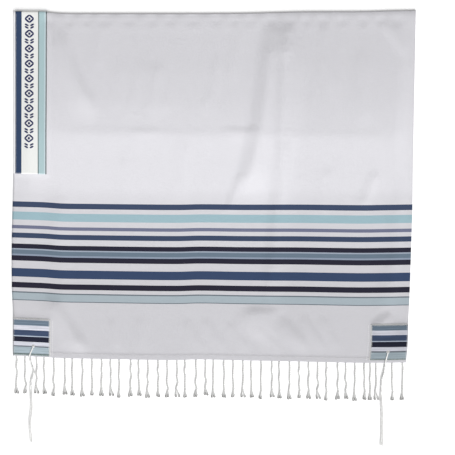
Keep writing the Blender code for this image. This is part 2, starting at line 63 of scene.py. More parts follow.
# Sizes shared with the frame
HALF_LENGTH = 0.957
CLOTH_THICKNESS = 0.0012
AIR = 0.0018
FOLD_HEIGHT = 0.0052
FOLD_SETTLES = 0.060
SEAM_GAP = 0.0003
LOWEST_DIP = -0.0012
TRIM_THICKNESS = 0.0010
TRIM_RAMP = 0.012
BAND_MARGIN = 0.0062
BAND_WIDTH = 0.0868
BAND_HALF_LENGTH = 0.4500
PATCH_SIZE = 0.0990
PATCH_HEM_ALLOWANCE = 0.0045
EYELET_SIZE = 0.0052
EYELET_DOWN = 0.9270
FRINGE_PITCH = 0.0262
FRINGE_MARGIN = 0.0090
FRINGE_LENGTH = 0.104
STRAND_KNOT_WIDTH = 0.0062
TUFT_WIDTH = 0.0105
TUFT_SPREAD = 0.40
STRAND_SPACING = 0.0160
KNOT_AT = 0.76
STRAND_HEIGHT = 0.0020
STRAND_GAP = 0.0004
FLOOR_GAP = 0.0003
FIRST_KNOT = 0.011
KNOTTED_LENGTH = 0.078
TASSEL_KNOTS = 5
TASSEL_KNOT_HEIGHT = 0.0044
LOOSE_WIDTH = 0.0015
LOOSE_GAP = 0.0004
CORD_WIDTH = 0.0036
RELIEF_MARGIN = 0.055

# The whole cloth as it is cut, before it is folded
CLOTH_WIDTH = 1.11

# What follows from those: metres in a whole share across and down, and where the bend starts
SCALE = np.array([CLOTH_WIDTH, HALF_LENGTH])
BEND_RADIUS = FOLD_HEIGHT / 2
BEND_START = BEND_RADIUS / HALF_LENGTH
TRIM_TOP = SEAM_GAP + TRIM_THICKNESS

# The fold and the hem along the cloth's width, and its two sides along its length
ENDS = table("across fold hem", [
    (0.000, 0.0038, -0.9450),
    (0.080, 0.0028, -0.9492),
    (0.125, -0.0010, -0.9522),
    (0.195, -0.0016, -0.9538),
    (0.295, -0.0016, -0.9560),
    (0.415, -0.0016, -0.9577),
    (0.470, -0.0015, -0.9558),
    (0.570, -0.0006, -0.9582),
    (0.640, 0.0012, -0.9598),
    (0.720, 0.0034, -0.9614),
    (0.870, 0.0042, -0.9650),
    (0.935, 0.0062, -0.9650),
    (1.000, 0.0076, -0.9640),
])
SIDES = table("down left right", [
    (0.00, 0.0000, 1.1099),
    (0.45, 0.0000, 1.1018),
    (0.56, -0.0018, 1.1004),
    (0.66, -0.0041, 1.0974),
    (0.80, -0.0041, 1.0929),
    (0.87, -0.0012, 1.0896),
    (0.95, -0.0010, 1.0875),
    (1.00, -0.0010, 1.0825),
])
WIDTH_AT_BAND = SIDES[0].right
WIDTH_AT_PATCHES = SIDES[-2].right
WIDTH_AT_HEM = SIDES[-1].right

# Folds and creases of the upper half, in millimetres. Each runs along a curve from a start to an
# end, drawn towards a middle, all given across and down. It reaches so far to the left and right
# of that way, and stands so high. Its crest is rounded over a width, and its ends fade over a
# share of its length.
COMMON_FADE = 0.25
Fold = namedtuple("Fold", "x1 y1 x2 y2 x3 y3 left right height crest fade", defaults=[COMMON_FADE])
FOLDS = [
    # The wide ridge across the cloth, and the largest folds
    Fold(20, 330, 570, 330, 1100, 335, 300, 360, 8.5, 12, 0.0),
    Fold(712, 10, 709, 300, 626, 540, 115, 43, 8.6, 4),
    Fold(752, 5, 745, 420, 700, 850, 60, 27, 4.8, 4, 0.2),
    Fold(129, 20, 135, 160, 240, 298, 30, 75, 5.2, 3, 0.28),
    Fold(125, 470, 115, 680, 150, 900, 42, 45, 3.6, 6),
    Fold(1085, 440, 1065, 640, 1020, 870, 38, 45, 3.8, 6),
    Fold(600, 830, 700, 870, 840, 920, 40, 40, 2, 10),
    Fold(385, 130, 380, 200, 410, 300, 45, 45, 1.2, 10),
    # The crease across the cloth, where it was folded before
    Fold(90, 334, 560, 338, 1080, 345, 24, 70, 0.8, 3, 0.12),
    Fold(575, 322, 625, 326, 690, 322, 9, 45, 1.1, 1, 0.3),
    Fold(320, 324, 365, 327, 410, 324, 8, 30, 0.7, 1),
    # Creases beside the largest folds
    Fold(752, -30, 756, 45, 748, 150, 30, 80, 3.6, 4),
    Fold(738, 345, 752, 440, 742, 540, 30, 16, 2, 2),
    Fold(640, 430, 612, 490, 590, 560, 24, 18, 1.8, 3),
    Fold(630, 832, 685, 824, 740, 834, 24, 75, 3.4, 3, 0.3),
    Fold(95, 770, 143, 870, 212, 955, 28, 60, 5, 3),
    Fold(1000, 430, 985, 490, 955, 550, 22, 28, 2, 3),
    Fold(1010, 0, 1050, 60, 1095, 130, 40, 24, 2.4, 4),
    Fold(988, 864, 1020, 851, 1050, 832, 20, 50, 3.6, 3, 0.3),
    # Small creases between the long folds and the neckband
    Fold(295, 130, 290, 200, 280, 290, 32, 20, 0.7, 3),
    Fold(350, 120, 335, 215, 308, 310, 32, 20, 0.6, 3),
    Fold(412, 125, 382, 195, 380, 290, 28, 20, 0.7, 3),
    Fold(432, 185, 430, 230, 428, 275, 20, 14, 0.5, 2),
    Fold(566, 110, 550, 210, 526, 285, 28, 18, 0.8, 3),
    Fold(640, 10, 622, 90, 590, 200, 30, 20, 0.6, 4),
    Fold(235, 10, 236, 80, 228, 160, 30, 20, 1, 4),
    Fold(850, 10, 862, 120, 890, 260, 36, 24, 1.4, 5),
    Fold(960, 90, 950, 210, 965, 330, 36, 24, 1.2, 5),
    Fold(465, 340, 470, 440, 462, 530, 30, 30, 1.2, 4),
    Fold(300, 380, 315, 470, 305, 550, 36, 26, 0.9, 5),
    Fold(862, 420, 852, 490, 858, 570, 36, 26, 1.2, 5),
    # Ripples above the hem
    Fold(655, 860, 705, 900, 750, 945, 14, 34, 1.4, 3),
    Fold(735, 835, 780, 885, 815, 945, 14, 34, 1.6, 3),
    Fold(790, 830, 830, 880, 860, 940, 14, 34, 1.5, 3),
    Fold(845, 835, 875, 880, 900, 935, 14, 34, 1.2, 3),
    Fold(470, 840, 495, 890, 530, 945, 16, 34, 1.2, 3),
    Fold(525, 840, 555, 890, 590, 945, 16, 34, 1.2, 3),
    Fold(595, 850, 620, 895, 650, 940, 16, 34, 1, 3),
    Fold(340, 835, 352, 890, 350, 945, 26, 18, 1, 4),
    Fold(265, 835, 275, 890, 290, 940, 26, 18, 1, 4),
]
FOLD_SAMPLES = 48

# Soft dimples along the fold, where the bent cloth puckers, with two waves that make them uneven
PUCKER_PITCH = 0.054
PUCKER_HEIGHT = 0.0016
PUCKER_START = -0.002
PUCKER_END = 0.044
Wave = namedtuple("Wave", "size rate shift")
PUCKER_WAVES = [Wave(1.6, 8.0, 0.0), Wave(0.7, 31.0, 0.0)]

# The corner patches: the side that each lies on, its margins, how far down its stripes begin, as
# it was cut from the cloth, and how bright it is: its tone is painted shade on the right patch
Patch = namedtuple("Patch", "side side_margin hem_margin cut tone")
PATCHES = {
    "left": Patch(-1, 0.0018, 0.0035, 0.0, 1.0),
    "right": Patch(1, 0.0018, 0.0080, -0.0022, 0.74),
}

# How the tassels sway from their straight way down, below the hem
SWAYS = table("down left right", [
    (0.000, 0.0000, 0.0000),
    (0.025, 0.0060, -0.0035),
    (0.046, 0.0115, -0.0095),
    (0.068, 0.0055, -0.0115),
    (0.095, 0.0040, -0.0115),
    (0.145, 0.0055, -0.0100),
    (0.190, 0.0015, -0.0095),
    (0.235, 0.0050, -0.0115),
])
Tassel = namedtuple("Tassel", "eyelet_across lean length keep_left keep_right")
TASSELS = {
    "left": Tassel(0.0566, -0.0120, 0.236, 0.0120, 0.0195),
    "right": Tassel(1.0342, -0.0085, 0.227, 0.0255, 0.0130),
}

# The meshes' own grid
ACROSS_STEP = 0.0068
DOWN_STEP = 0.0066
LOWER_STEP = 0.024
BEND_STEPS = 12
TRIM_STEP = 0.0036

# The hem's turned edge
HEM_DEPTH = 0.0140
HEM_EDGE = 0.0008
HEM_RISE = 0.00022

# Sewing: each kind of stitch, the thread's rise over what it lies on, and rows beside an edge
Sewing = namedtuple("Sewing", "pitch length width")
TOP_STITCH = Sewing(0.0034, 0.0022, 0.0006)
SECOND_STITCH = Sewing(0.0050, 0.0032, 0.0012)
STITCH_FLATNESS = 0.7
STITCH_INSET = 0.0020
BAND_STITCHES_START = 0.006
STITCH_RISE = 0.00015
LOW_STITCH_RISE = 0.0001
HIGH_STITCH_RISE = 0.0002
SECOND_ROW = 0.0090
HEM_STITCH_MARGIN = 0.002
ZIGZAG_PITCH = 0.0014
ZIGZAG_INSIDE = 0.0012
ZIGZAG_WIDTH = 0.0050
ZIGZAG_OUTER_RISE = 0.0004
ZIGZAG_THREAD = (0.0009, 0.0007)
EYELET_STITCHES = 30
EYELET_INNER = 0.0019
EYELET_OUTER = 0.0046
EYELET_THREAD = (0.0007, 0.0008)

# One stitch's thickness along its length
STITCH_SHARES = ((0.0, 0.35), (0.12, 0.8), (0.5, 1.0), (0.88, 0.8), (1.0, 0.35))
STITCH_SIDES = 6

# The neckband's ornament: strokes in millimetres along the band and across it
ORNAMENT_START = 0.008
ORNAMENT_PITCH = 0.0415
ORNAMENT_CENTRE = 0.0385
ORNAMENT_REPEATS = 9
ORNAMENT_HEIGHT = 0.0010
ORNAMENT = table("along_start across_start along_end across_end width", [
    (1.5, 0.0, 12.0, 12.0, 5.2),
    (12.0, 12.0, 22.5, 0.0, 5.2),
    (1.5, 0.0, 12.0, -12.0, 5.2),
    (12.0, -12.0, 22.5, 0.0, 5.2),
    (8.6, 0.0, 15.4, 0.0, 6.4),
    (26.5, 12.5, 31.5, 2.6, 5.0),
    (26.5, -12.5, 31.5, -2.6, 5.0),
    (33.5, 12.5, 38.5, 2.6, 5.0),
    (33.5, -12.5, 38.5, -2.6, 5.0),
])

# The fringe's strands: two yarns each, a knot, and two legs with knotted and frayed ends. A
# taper draws the two yarns together at an end, to a share of their spread, over a length.
ROOT_SPREAD = 0.0035
LENGTH_SPREAD = 0.035
DRIFT_SPREAD = 0.0028
DRIFT_RATE = 3.7
DRIFT_WAVE = Wave(0.0010, 16.0, 2.1)
APART_WAVE = Wave(0.18, 95.0, 1.7)
SWELL_WAVE = Wave(0.08, 210.0, 1.0)
STRAND_BREADTH = 0.0050
STRAND_TURN = 0.0130
STRAND_STEP = 0.0017
YARN_RADIUS = 0.00138
YARN_SIDES = 7
YARN_LOBES = 0.12
PLY_LOBES = 0.2
PLY_TWIST = TURN / 0.006
STRAND_FLATNESS = STRAND_HEIGHT / 2 / YARN_RADIUS
STRAND_MARKS = (0.2, 0.4, 0.6, 0.8, 1.0)
INSIDE_HEM = 0.0005
STRAND_DROP = 0.006
Taper = namedtuple("Taper", "share length")
HEM_TAPER = Taper(0.35, 0.010)
KNOT_TAPER = Taper(0.55, 0.006)
LEG_RADIUS = 0.00155
LEG_FLATNESS = STRAND_HEIGHT / 2 / LEG_RADIUS / (1 + PLY_LOBES)
LEG_STEP = 0.0022
LEG_LENGTH = 0.95
LEG_REACH = 0.9
LEG_MIDDLE_REACH = 0.48
LEG_KNOT_RADIUS = 0.00190
LEG_KNOT_PLACES = (0.0046, 0.0024, 0.0002)
LEG_KNOT_SHARES = (0.72, 1.0, 0.72)
LEG_KNOT_SIDES = 8
LEG_KNOT_LOBES = 0.1
HAIRS = 11
HAIR_RADIUS = 0.00042
HAIR_SPREAD = 0.0034
HAIR_LENGTH = 0.0100
HAIR_ROOT = 0.008
HAIR_ROOT_STEP = HAIR_LENGTH / 4
HAIR_VARIES = 0.8
HAIR_MIDDLE = (0.3, 0.4)
HAIR_TAPER = 0.45
HAIR_SIDES = 5
KNOT_TILTS = (-0.5, 0.5)
KNOT_LOOP_RADIUS = STRAND_HEIGHT * 0.31
KNOT_THREAD_RADIUS = KNOT_LOOP_RADIUS * 1.25
KNOT_STEPS = 10
LOOP_SIDES = 6

# The corner tassels: a wound core with knots, strings to the eyelet, and loose strands
WOUND_RADIUS = 0.0021
CORE_RADIUS = WOUND_RADIUS * 0.78
CORE_MARGINS = (0.003, 0.004)
CORE_STEPS = 90
CORE_SIDES = 8
WRAP_RADIUS = 0.00048
WRAP_PITCH = 2.15 * WRAP_RADIUS
WRAP_FLATNESS = 0.85
WRAP_STEPS = 10
WRAP_SIDES = 5
TASSEL_LOOPS = table("offset tilt", [(-0.0011, -0.5), (-0.0002, 0.5), (0.0005, -0.35), (0.0013, 0.4)])
TASSEL_LOOP_SIZE = (0.00235, 0.00132)
TASSEL_LOOP_STEPS = 14
TASSEL_LOOP_RADIUS = 0.00082
STRINGS = 4
STRING_RADIUS = 0.00056
STRING_SIDES = 8
STRING_STEP = 0.0011
STRING_RISE = 0.0007
STRING_PITCH = CORD_WIDTH / 4.4
STRINGS_GATHERED = 0.72
STRINGS_AT_KNOT = 0.8
LOOSE_STRANDS = 8
LOOSE_COLUMNS = 4
LOOSE_START = KNOTTED_LENGTH + 0.003
LOOSE_SPREAD = 0.004
WANDER_WAVE = Wave(0.0007, 11.0, 2.4)
LOOSE_SIDES = 6
LOOSE_STEP = 0.0014
LOOSE_TWIST = TURN / 0.005
LOOSE_END = 0.985
LOOSE_END_SWELL = 1.35

# The photograph's view: how much of the ground it spans, and where the cloth lies in it
VIEW_SPAN = 1.2558
VIEW_CENTRE = (0.5906, -0.5915)
CAMERA_HEIGHT = 4.0
SENSOR_WIDTH = 36.0

# Studio lights, both aimed at the origin
LAMPS = table("name place size watts", [
    ("key_light", (2.7, -12.6, 13.0), 5.0, 2150.0),
    ("low_light", (2.7, -12.6, 5.2), 6.0, 1900.0),
])
SKY_STRENGTH = 0.42
FLOOR_SIZE = 30.0
FLOOR_DROP = 0.0002
FLOOR_GLOW = 0.12

# Colours as they look in the photograph, on a scale of 0 to 255
WHITE_CLOTH = (224, 223, 228)
BESIDE_BAND_PAINTED_LIGHT = (250, 250, 252)
BAND_WHITE = (226, 227, 225)
PATCH_WHITE = (207, 208, 218)
THREAD_WHITE = (230, 230, 229)
# The white fringe yarn is greyed by painted shade between its plies, and its knotted ends and loose
# fibres are darker still, painted shadow among the fibres
FRINGE_SHADED_WHITE = (196, 196, 195)
FRINGE_ENDS_SHADE = (128, 127, 126)
FLOOR_WHITE = (250, 250, 250)
NAVY_SILK = (38, 46, 88)
NAVY = (66, 79, 106)
BLACK = (44, 43, 59)
LIGHT_LINE = (172, 182, 198)
GREY_LINE = (122, 132, 140)

# The part of each half that is striped, in metres from the fold
STRIPES_START = 0.515
STRIPES_LENGTH = 0.300

# A colour ramp's own resolution, which rounds each stop up to its next step
RAMP_STEP = 1 / 255
SAME_PLACE = 1e-6

# The cloth's stripes, in millimetres from the fold
STRIPE = "start end colour"
CLOTH_STRIPES = table(STRIPE, [
    (527.3, 542.8, NAVY),
    (555.4, 577.8, (168, 198, 208)),
    (592.6, 602.7, (122, 126, 151)),
    (613.8, 628.2, NAVY),
    (644.0, 657.7, BLACK),
    (657.7, 660.7, LIGHT_LINE),
    (660.7, 672.9, (115, 132, 148)),
    (672.9, 677.4, (154, 166, 186)),
    (677.4, 691.0, BLACK),
    (712.9, 735.8, (62, 79, 112)),
    (750.8, 765.8, BLACK),
    (777.5, 780.5, GREY_LINE),
    (780.5, 798.7, (184, 197, 205)),
    (798.7, 801.7, GREY_LINE),
])

# A corner patch's stripes, in millimetres from its upper edge
PATCH_STRIPES = table(STRIPE, [
    (2.2, 17.2, (107, 122, 137)),
    (30.0, 45.5, (64, 77, 103)),
    (45.5, 48.1, LIGHT_LINE),
    (48.1, 62.6, (34, 36, 51)),
    (73.2, 76.8, (108, 114, 122)),
    (76.8, 94.2, (162, 176, 184)),
    (94.2, 99.4, (104, 118, 118)),
])

# The neckband's stripes, in millimetres from its left edge
BAND_STRIPES = table(STRIPE, [
    (0.0, 17.0, (50, 67, 97)),
    (62.4, 65.4, (98, 112, 113)),
    (65.4, 80.2, (166, 189, 193)),
    (80.2, 83.6, (188, 204, 209)),
    (83.6, 86.8, (84, 94, 97)),
])

# How bright the cloth is down its length: painted shade and light for its slopes and creases, darker
# at the fold and the hem
CLOTH_PAINTED_SHADE = [
    (0.00, 0.66), (0.006, 0.69), (0.02, 0.775), (0.05, 0.80), (0.12, 0.81), (0.22, 0.845),
    (0.32, 0.885), (0.36, 0.905), (0.50, 0.90), (0.54, 0.835), (0.58, 0.77), (0.67, 0.765),
    (0.73, 0.74), (0.80, 0.715), (0.985, 0.705), (1.00, 0.66),
]

# And across it: right of the longest fold it turns a little away from the light
RIGHT_TONES = [(0.62, 1.0), (0.70, 0.965), (1.0, 0.965)]

# The selvedge: fine darker lines along each side; and beside the neckband a paler strip, painted
# light over the neckband's shadow
SELVEDGE_WIDTH = 0.0075
SELVEDGE_PITCH = 0.0025
SELVEDGE_LEVEL = 0.35
SELVEDGE_SHARE = 0.05
PAINTED_LIGHT_SHARE = 0.85

# Streaks of uneven yarn: how they are stretched across and down, and their low and high tones
Streaks = namedtuple("Streaks", "stretch low high")
CLOTH_STREAKS = Streaks((1.0, 30.0, 1.0), 0.965, 1.0)
PATCH_STREAKS = Streaks((0.25, 11.0, 1.0), 0.76, 1.12)
BAND_STREAKS = Streaks((30.0, 1.0, 1.0), 0.96, 1.0)
STREAK_SCALE = 40.0

# Every material's faint gloss, and spun thread's fibres and its clouds of a dimmer tone
SPECULAR = 0.12
FIBRE_SCALE = 2600.0
FIBRE_STRENGTH = 0.35
FIBRE_DEPTH = 0.0003
CLOUD_SCALE = 160.0
CLOUD_TONE = 0.88
FLOOR_SCALE = 3.0
FLOOR_TONE = 0.995
GREY = (0.5,) * 3

# The weaves' bump: the threads' pitch and how strongly they show
Weave = namedtuple("Weave", "pitch strength")
WOOL_WEAVE = Weave(0.0011, 0.30)
RIBBON_WEAVE = Weave(0.0008, 0.22)
WEAVE_DEPTH = 0.0004
YARN_NOISE_SCALE = 900.0
YARN_UNEVENNESS = 0.9


# Helpers

def linear(colour):
    """A colour on a scale of 0 to 255 as Blender's shaders take it."""
    shares = [c / 255 for c in colour]
    return tuple(s / 12.92 if s < 0.04045 else ((s + 0.055) / 1.055) ** 2.4 for s in shares)


def toned(colour, tone):
    return tuple(c * tone for c in colour)


def grey_stops(rows):
    return [(place, (tone,) * 3) for place, tone in rows]


def unit(vectors):
    """The same ways, each with a length of one."""
    return vectors / np.linalg.norm(vectors, axis=-1, keepdims=True)


def circle(count):
    """Angles evenly round a circle."""
    return np.arange(count) * TURN / count


def smooth_step(low, high, values):
    share = np.clip((values - low) / (high - low), 0.0, 1.0)
    return share * share * (3.0 - 2.0 * share)


def curve(share, start, end, leave, arrive):
    """A smooth curve from start to end, by how it leaves one and arrives at the other."""
    back = 1 - share
    ends = start * (1 + 2 * share) * back ** 2 + end * share ** 2 * (3 - 2 * share)
    return ends + leave * share * back ** 2 - arrive * share ** 2 * back


def eased(rows, column, places):
    """A table's column at places between its rows, on a smooth curve through them."""
    at = np.array([row[0] for row in rows], float)
    values = np.array([getattr(row, column) for row in rows], float)
    before = np.maximum(np.arange(len(at)) - 1, 0)
    after = np.minimum(np.arange(len(at)) + 1, len(at) - 1)
    slopes = (values[after] - values[before]) / (at[after] - at[before])
    places = np.clip(places, at[0], at[-1])
    row = np.clip(np.searchsorted(at, places, side="right") - 1, 0, len(at) - 2)
    width = at[row + 1] - at[row]
    share = (places - at[row]) / width
    return curve(share, values[row], values[row + 1], width * slopes[row], width * slopes[row + 1])


def run_length(line):
    """How far along a line each of its points lies."""
    return np.concatenate([[0], np.cumsum(np.linalg.norm(np.diff(line, axis=0), axis=1))])


def wobble(number, seed):
    """A repeatable number from -1 to 1 for each strand; its constants only scatter the values."""
    return math.sin(number * 12.9898 + seed * 78.233) * math.cos(number * 4.137 + seed)


def waved(wave, run, number=0):
    """A wave along a run, shifted from one strand to the next."""
    return wave.size * np.sin(run * wave.rate + number * wave.shift)


def varied(share, number, seed):
    """A share of 1 at most, that differs a little from strand to strand."""
    return share + (1 - share) * wobble(number, seed)


# The cloth's shape

def flat_place(across, down):
    left = eased(SIDES, "left", down)
    right = eased(SIDES, "right", down)
    fold = eased(ENDS, "fold", across)
    hem = eased(ENDS, "hem", across)
    return left + (right - left) * across, fold + (hem - fold) * down


def frame_shift():
    """From the sizes' own corner to the frame's origin, read from where the cloth's node lies."""
    low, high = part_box("shawl_cloth")
    left = min(flat_place(np.array([0.0]), np.array([side.down]))[0][0] for side in SIDES)
    return np.array([low.x - left, high.y - ENDS[-1].fold, 0.0])


SHIFT = frame_shift()


def end_fade(fold, run):
    if fold.fade == 0.0:
        return 1.0
    return smooth_step(0, fold.fade, run) * smooth_step(0, fold.fade, 1 - run)


def fold_height(fold, x, down):
    """The height that one fold adds at places in metres across and down."""
    share = np.linspace(0, 1, FOLD_SAMPLES)[:, None]
    weights = ((1 - share) ** 2, 2 * share * (1 - share), share ** 2)
    line = sum(w * place for w, place in zip(weights, np.array(fold[:6]).reshape(3, 2) / 1000))
    left, right, height, crest = (size / 1000 for size in fold[6:10])
    ways = unit(np.gradient(line, axis=0))
    spots = np.stack([x.ravel(), down.ravel()], 1)
    reach = max(left, right)
    near = (spots > line.min(0) - reach).all(1) & (spots < line.max(0) + reach).all(1)
    heights = np.zeros(len(spots))
    if near.any():
        away = spots[near][:, None] - line[None]
        nearest = (away ** 2).sum(2).argmin(1)
        offset = away[np.arange(len(nearest)), nearest]
        way = ways[nearest]
        sideways = way[:, 0] * offset[:, 1] - way[:, 1] * offset[:, 0]
        beyond = np.clip(np.abs((way * offset).sum(1)) / reach, 0, 1)
        rounded = np.sqrt(sideways ** 2 + crest ** 2) - crest
        u = np.clip(rounded / np.where(sideways > 0, right, left), 0, 1)
        profile = (1 - u) ** 2 * (1 + u) * end_fade(fold, nearest / (FOLD_SAMPLES - 1))
        heights[near] = height * profile * (1 - beyond)
    return heights.reshape(x.shape)


def puckers(x, down):
    """Uneven dimples along the fold."""
    uneven = sum(waved(wave, x) for wave in PUCKER_WAVES)
    swell = np.cos(TURN * x / PUCKER_PITCH + uneven)
    middle = (PUCKER_START + PUCKER_END) / 2
    length = smooth_step(PUCKER_START, middle, down) * (1 - smooth_step(middle, PUCKER_END, down))
    return -PUCKER_HEIGHT * (0.5 + 0.5 * swell) * length


def side_fade(share, width):
    """Dies away at both edges, which lie flat."""
    return smooth_step(0.0, RELIEF_MARGIN, np.minimum(share, 1 - share) * width)


def relief(across, down):
    x, y = flat_place(across, down)
    total = np.maximum(sum(fold_height(fold, x, -y) for fold in FOLDS), LOWEST_DIP)
    return total * side_fade(across, eased(SIDES, "right", down)) * side_fade(down, HALF_LENGTH)


Region = namedtuple("Region", "left right top bottom")


def patch_region(patch):
    near = patch.side_margin / WIDTH_AT_PATCHES
    far = near + PATCH_SIZE / WIDTH_AT_PATCHES
    bottom = 1.0 - patch.hem_margin / HALF_LENGTH
    top = 1.0 - (PATCH_SIZE + PATCH_HEM_ALLOWANCE) / HALF_LENGTH
    if patch.side > 0:
        near, far = 1.0 - far, 1.0 - near
    return Region(near, far, top, bottom)


def eyelet_region(tassel):
    half = EYELET_SIZE / 2
    left, right = ((tassel.eyelet_across + out) / WIDTH_AT_PATCHES for out in (-half, half))
    top, bottom = ((EYELET_DOWN + out) / HALF_LENGTH for out in (-half, half))
    return Region(left, right, top, bottom)


BAND_LEFT = BAND_MARGIN / WIDTH_AT_BAND
BAND_BOTTOM = BAND_HALF_LENGTH / HALF_LENGTH
BAND = Region(BAND_LEFT, BAND_LEFT + BAND_WIDTH / WIDTH_AT_BAND, 0.0, BAND_BOTTOM)
LEFT_PATCH, RIGHT_PATCH = (patch_region(patch) for patch in PATCHES.values())
PATCH_REGIONS = {"left": LEFT_PATCH, "right": RIGHT_PATCH}
EYELETS = {name: eyelet_region(tassel) for name, tassel in TASSELS.items()}
COVERED = [
    Region(0.0, BAND.right, BAND.top, BAND.bottom),
    Region(0.0, LEFT_PATCH.right, LEFT_PATCH.top, 1.0),
    Region(RIGHT_PATCH.left, 1.0, RIGHT_PATCH.top, 1.0),
]
RAMP_ACROSS = TRIM_RAMP / WIDTH_AT_BAND
RAMP_DOWN = TRIM_RAMP / HALF_LENGTH


def cover_height(across, down):
    """How far the cloth is lifted by what is sewn beneath its lower half."""
    height = np.zeros(np.broadcast(across, down).shape)
    for region in COVERED:
        beside = np.maximum(np.maximum(region.left - across, across - region.right), 0)
        along = np.maximum(np.maximum(region.top - down, down - region.bottom), 0)
        share = 1 - np.maximum(beside / RAMP_ACROSS, along / RAMP_DOWN)
        height = np.maximum(height, np.clip(share, 0, 1) * TRIM_TOP)
    return height


def resting_height(across, down):
    """The height of the upper half's outer face."""
    flat_height = 2 * CLOTH_THICKNESS + AIR
    settled = smooth_step(BEND_START, BEND_START + FOLD_SETTLES / HALF_LENGTH, down)
    height = FOLD_HEIGHT + (flat_height - FOLD_HEIGHT) * settled
    x, y = flat_place(across, down)
    dimples = puckers(x, -y) * side_fade(across, CLOTH_WIDTH)
    return cover_height(across, down) + height + relief(across, down) * settled + dimples


Row = namedtuple("Row", "down turn")


def wrapped_rows(upper, lower):
    """Rows from the last place down the upper half, round the fold, to the lower half's last."""
    rows = [Row(down, 0.0) for down in reversed(upper)]
    rows += [Row(BEND_START, math.pi * i / BEND_STEPS) for i in range(1, BEND_STEPS)]
    return rows + [Row(down, math.pi) for down in lower]


def outer_face(across, rows):
    """Points of the cloth's outer face, by column and row."""
    across = np.array(across, float)[:, None]
    down, turn = (np.array(values)[None, :] for values in zip(*rows))
    across, down, turn = np.broadcast_arrays(across, down, turn)
    x, y = flat_place(across, down)
    low = cover_height(across, down)
    bent = low + BEND_RADIUS + BEND_RADIUS * np.cos(turn)
    z = np.where(turn == 0.0, resting_height(across, down), np.where(turn == math.pi, low, bent))
    y = np.where((turn > 0.0) & (turn < math.pi), y + BEND_RADIUS * np.sin(turn), y)
    return np.stack([x, y, z], 2) + SHIFT


def filled_lines(marks, step):
    """Places through all the marks, no further apart than step."""
    marks = sorted(set(marks))
    lines = [marks[0]]
    for low, high in zip(marks, marks[1:]):
        count = max(math.ceil((high - low) / step), 1)
        lines += [low + (high - low) * i / count for i in range(1, count + 1)]
    return lines


# Pieces from points

def mesh_object(name, points, faces, material, uvs=None):
    """A mesh piece from points and faces, that rides on the shawl's one body."""
    mesh = bpy.data.meshes.new(name)
    mesh.from_pydata(points.tolist(), [], faces)
    if uvs is not None:
        layer = mesh.uv_layers.new(name="Flat")
        loops = np.zeros(len(mesh.loops), int)
        mesh.loops.foreach_get("vertex_index", loops)
        layer.data.foreach_set("uv", uvs[loops].ravel())
    mesh.shade_smooth()
    mesh.materials.append(material)
    piece = bpy.data.objects.new(name, mesh)
    bpy.context.scene.collection.objects.link(piece)
    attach(piece, "root")
    return piece


def grid_piece(name, points, uvs, thickness, material, open_cells):
    """A sheet over a grid of points, with its thickness on the side away from the outer face."""
    number = np.arange(points.shape[0] * points.shape[1]).reshape(points.shape[:2])
    corners = np.stack([number[:-1, :-1], number[1:, :-1], number[1:, 1:], number[:-1, 1:]], 2)
    closed = np.ones(corners.shape[:2], bool)
    for cell in open_cells:
        closed[cell] = False
    faces = corners[closed].tolist()
    piece = mesh_object(name, points.reshape(-1, 3), faces, material, uvs.reshape(-1, 2))
    wall = piece.modifiers.new("thickness", "SOLIDIFY")
    wall.thickness = thickness
    wall.offset = -1.0
    wall.use_even_offset = False
    return piece


def flat_uvs(across, rows, cut=0.0):
    """Metres across and metres from the fold, as the material's coordinates."""
    across = np.array(across)[:, None] * CLOTH_WIDTH
    down = np.array([row.down for row in rows])[None, :] * HALF_LENGTH
    return np.stack(np.broadcast_arrays(across, down - cut), 2)


def cells_inside(region, across, rows):
    """The grid cells of the upper half that a region leaves open."""
    cells = set()
    for row, (low, high) in enumerate(zip(rows, rows[1:])):
        if low.turn or not region.top < (low.down + high.down) / 2 < region.bottom:
            continue
        for column, (left, right) in enumerate(zip(across, across[1:])):
            if region.left < (left + right) / 2 < region.right:
                cells.add((column, row))
    return cells


# Materials

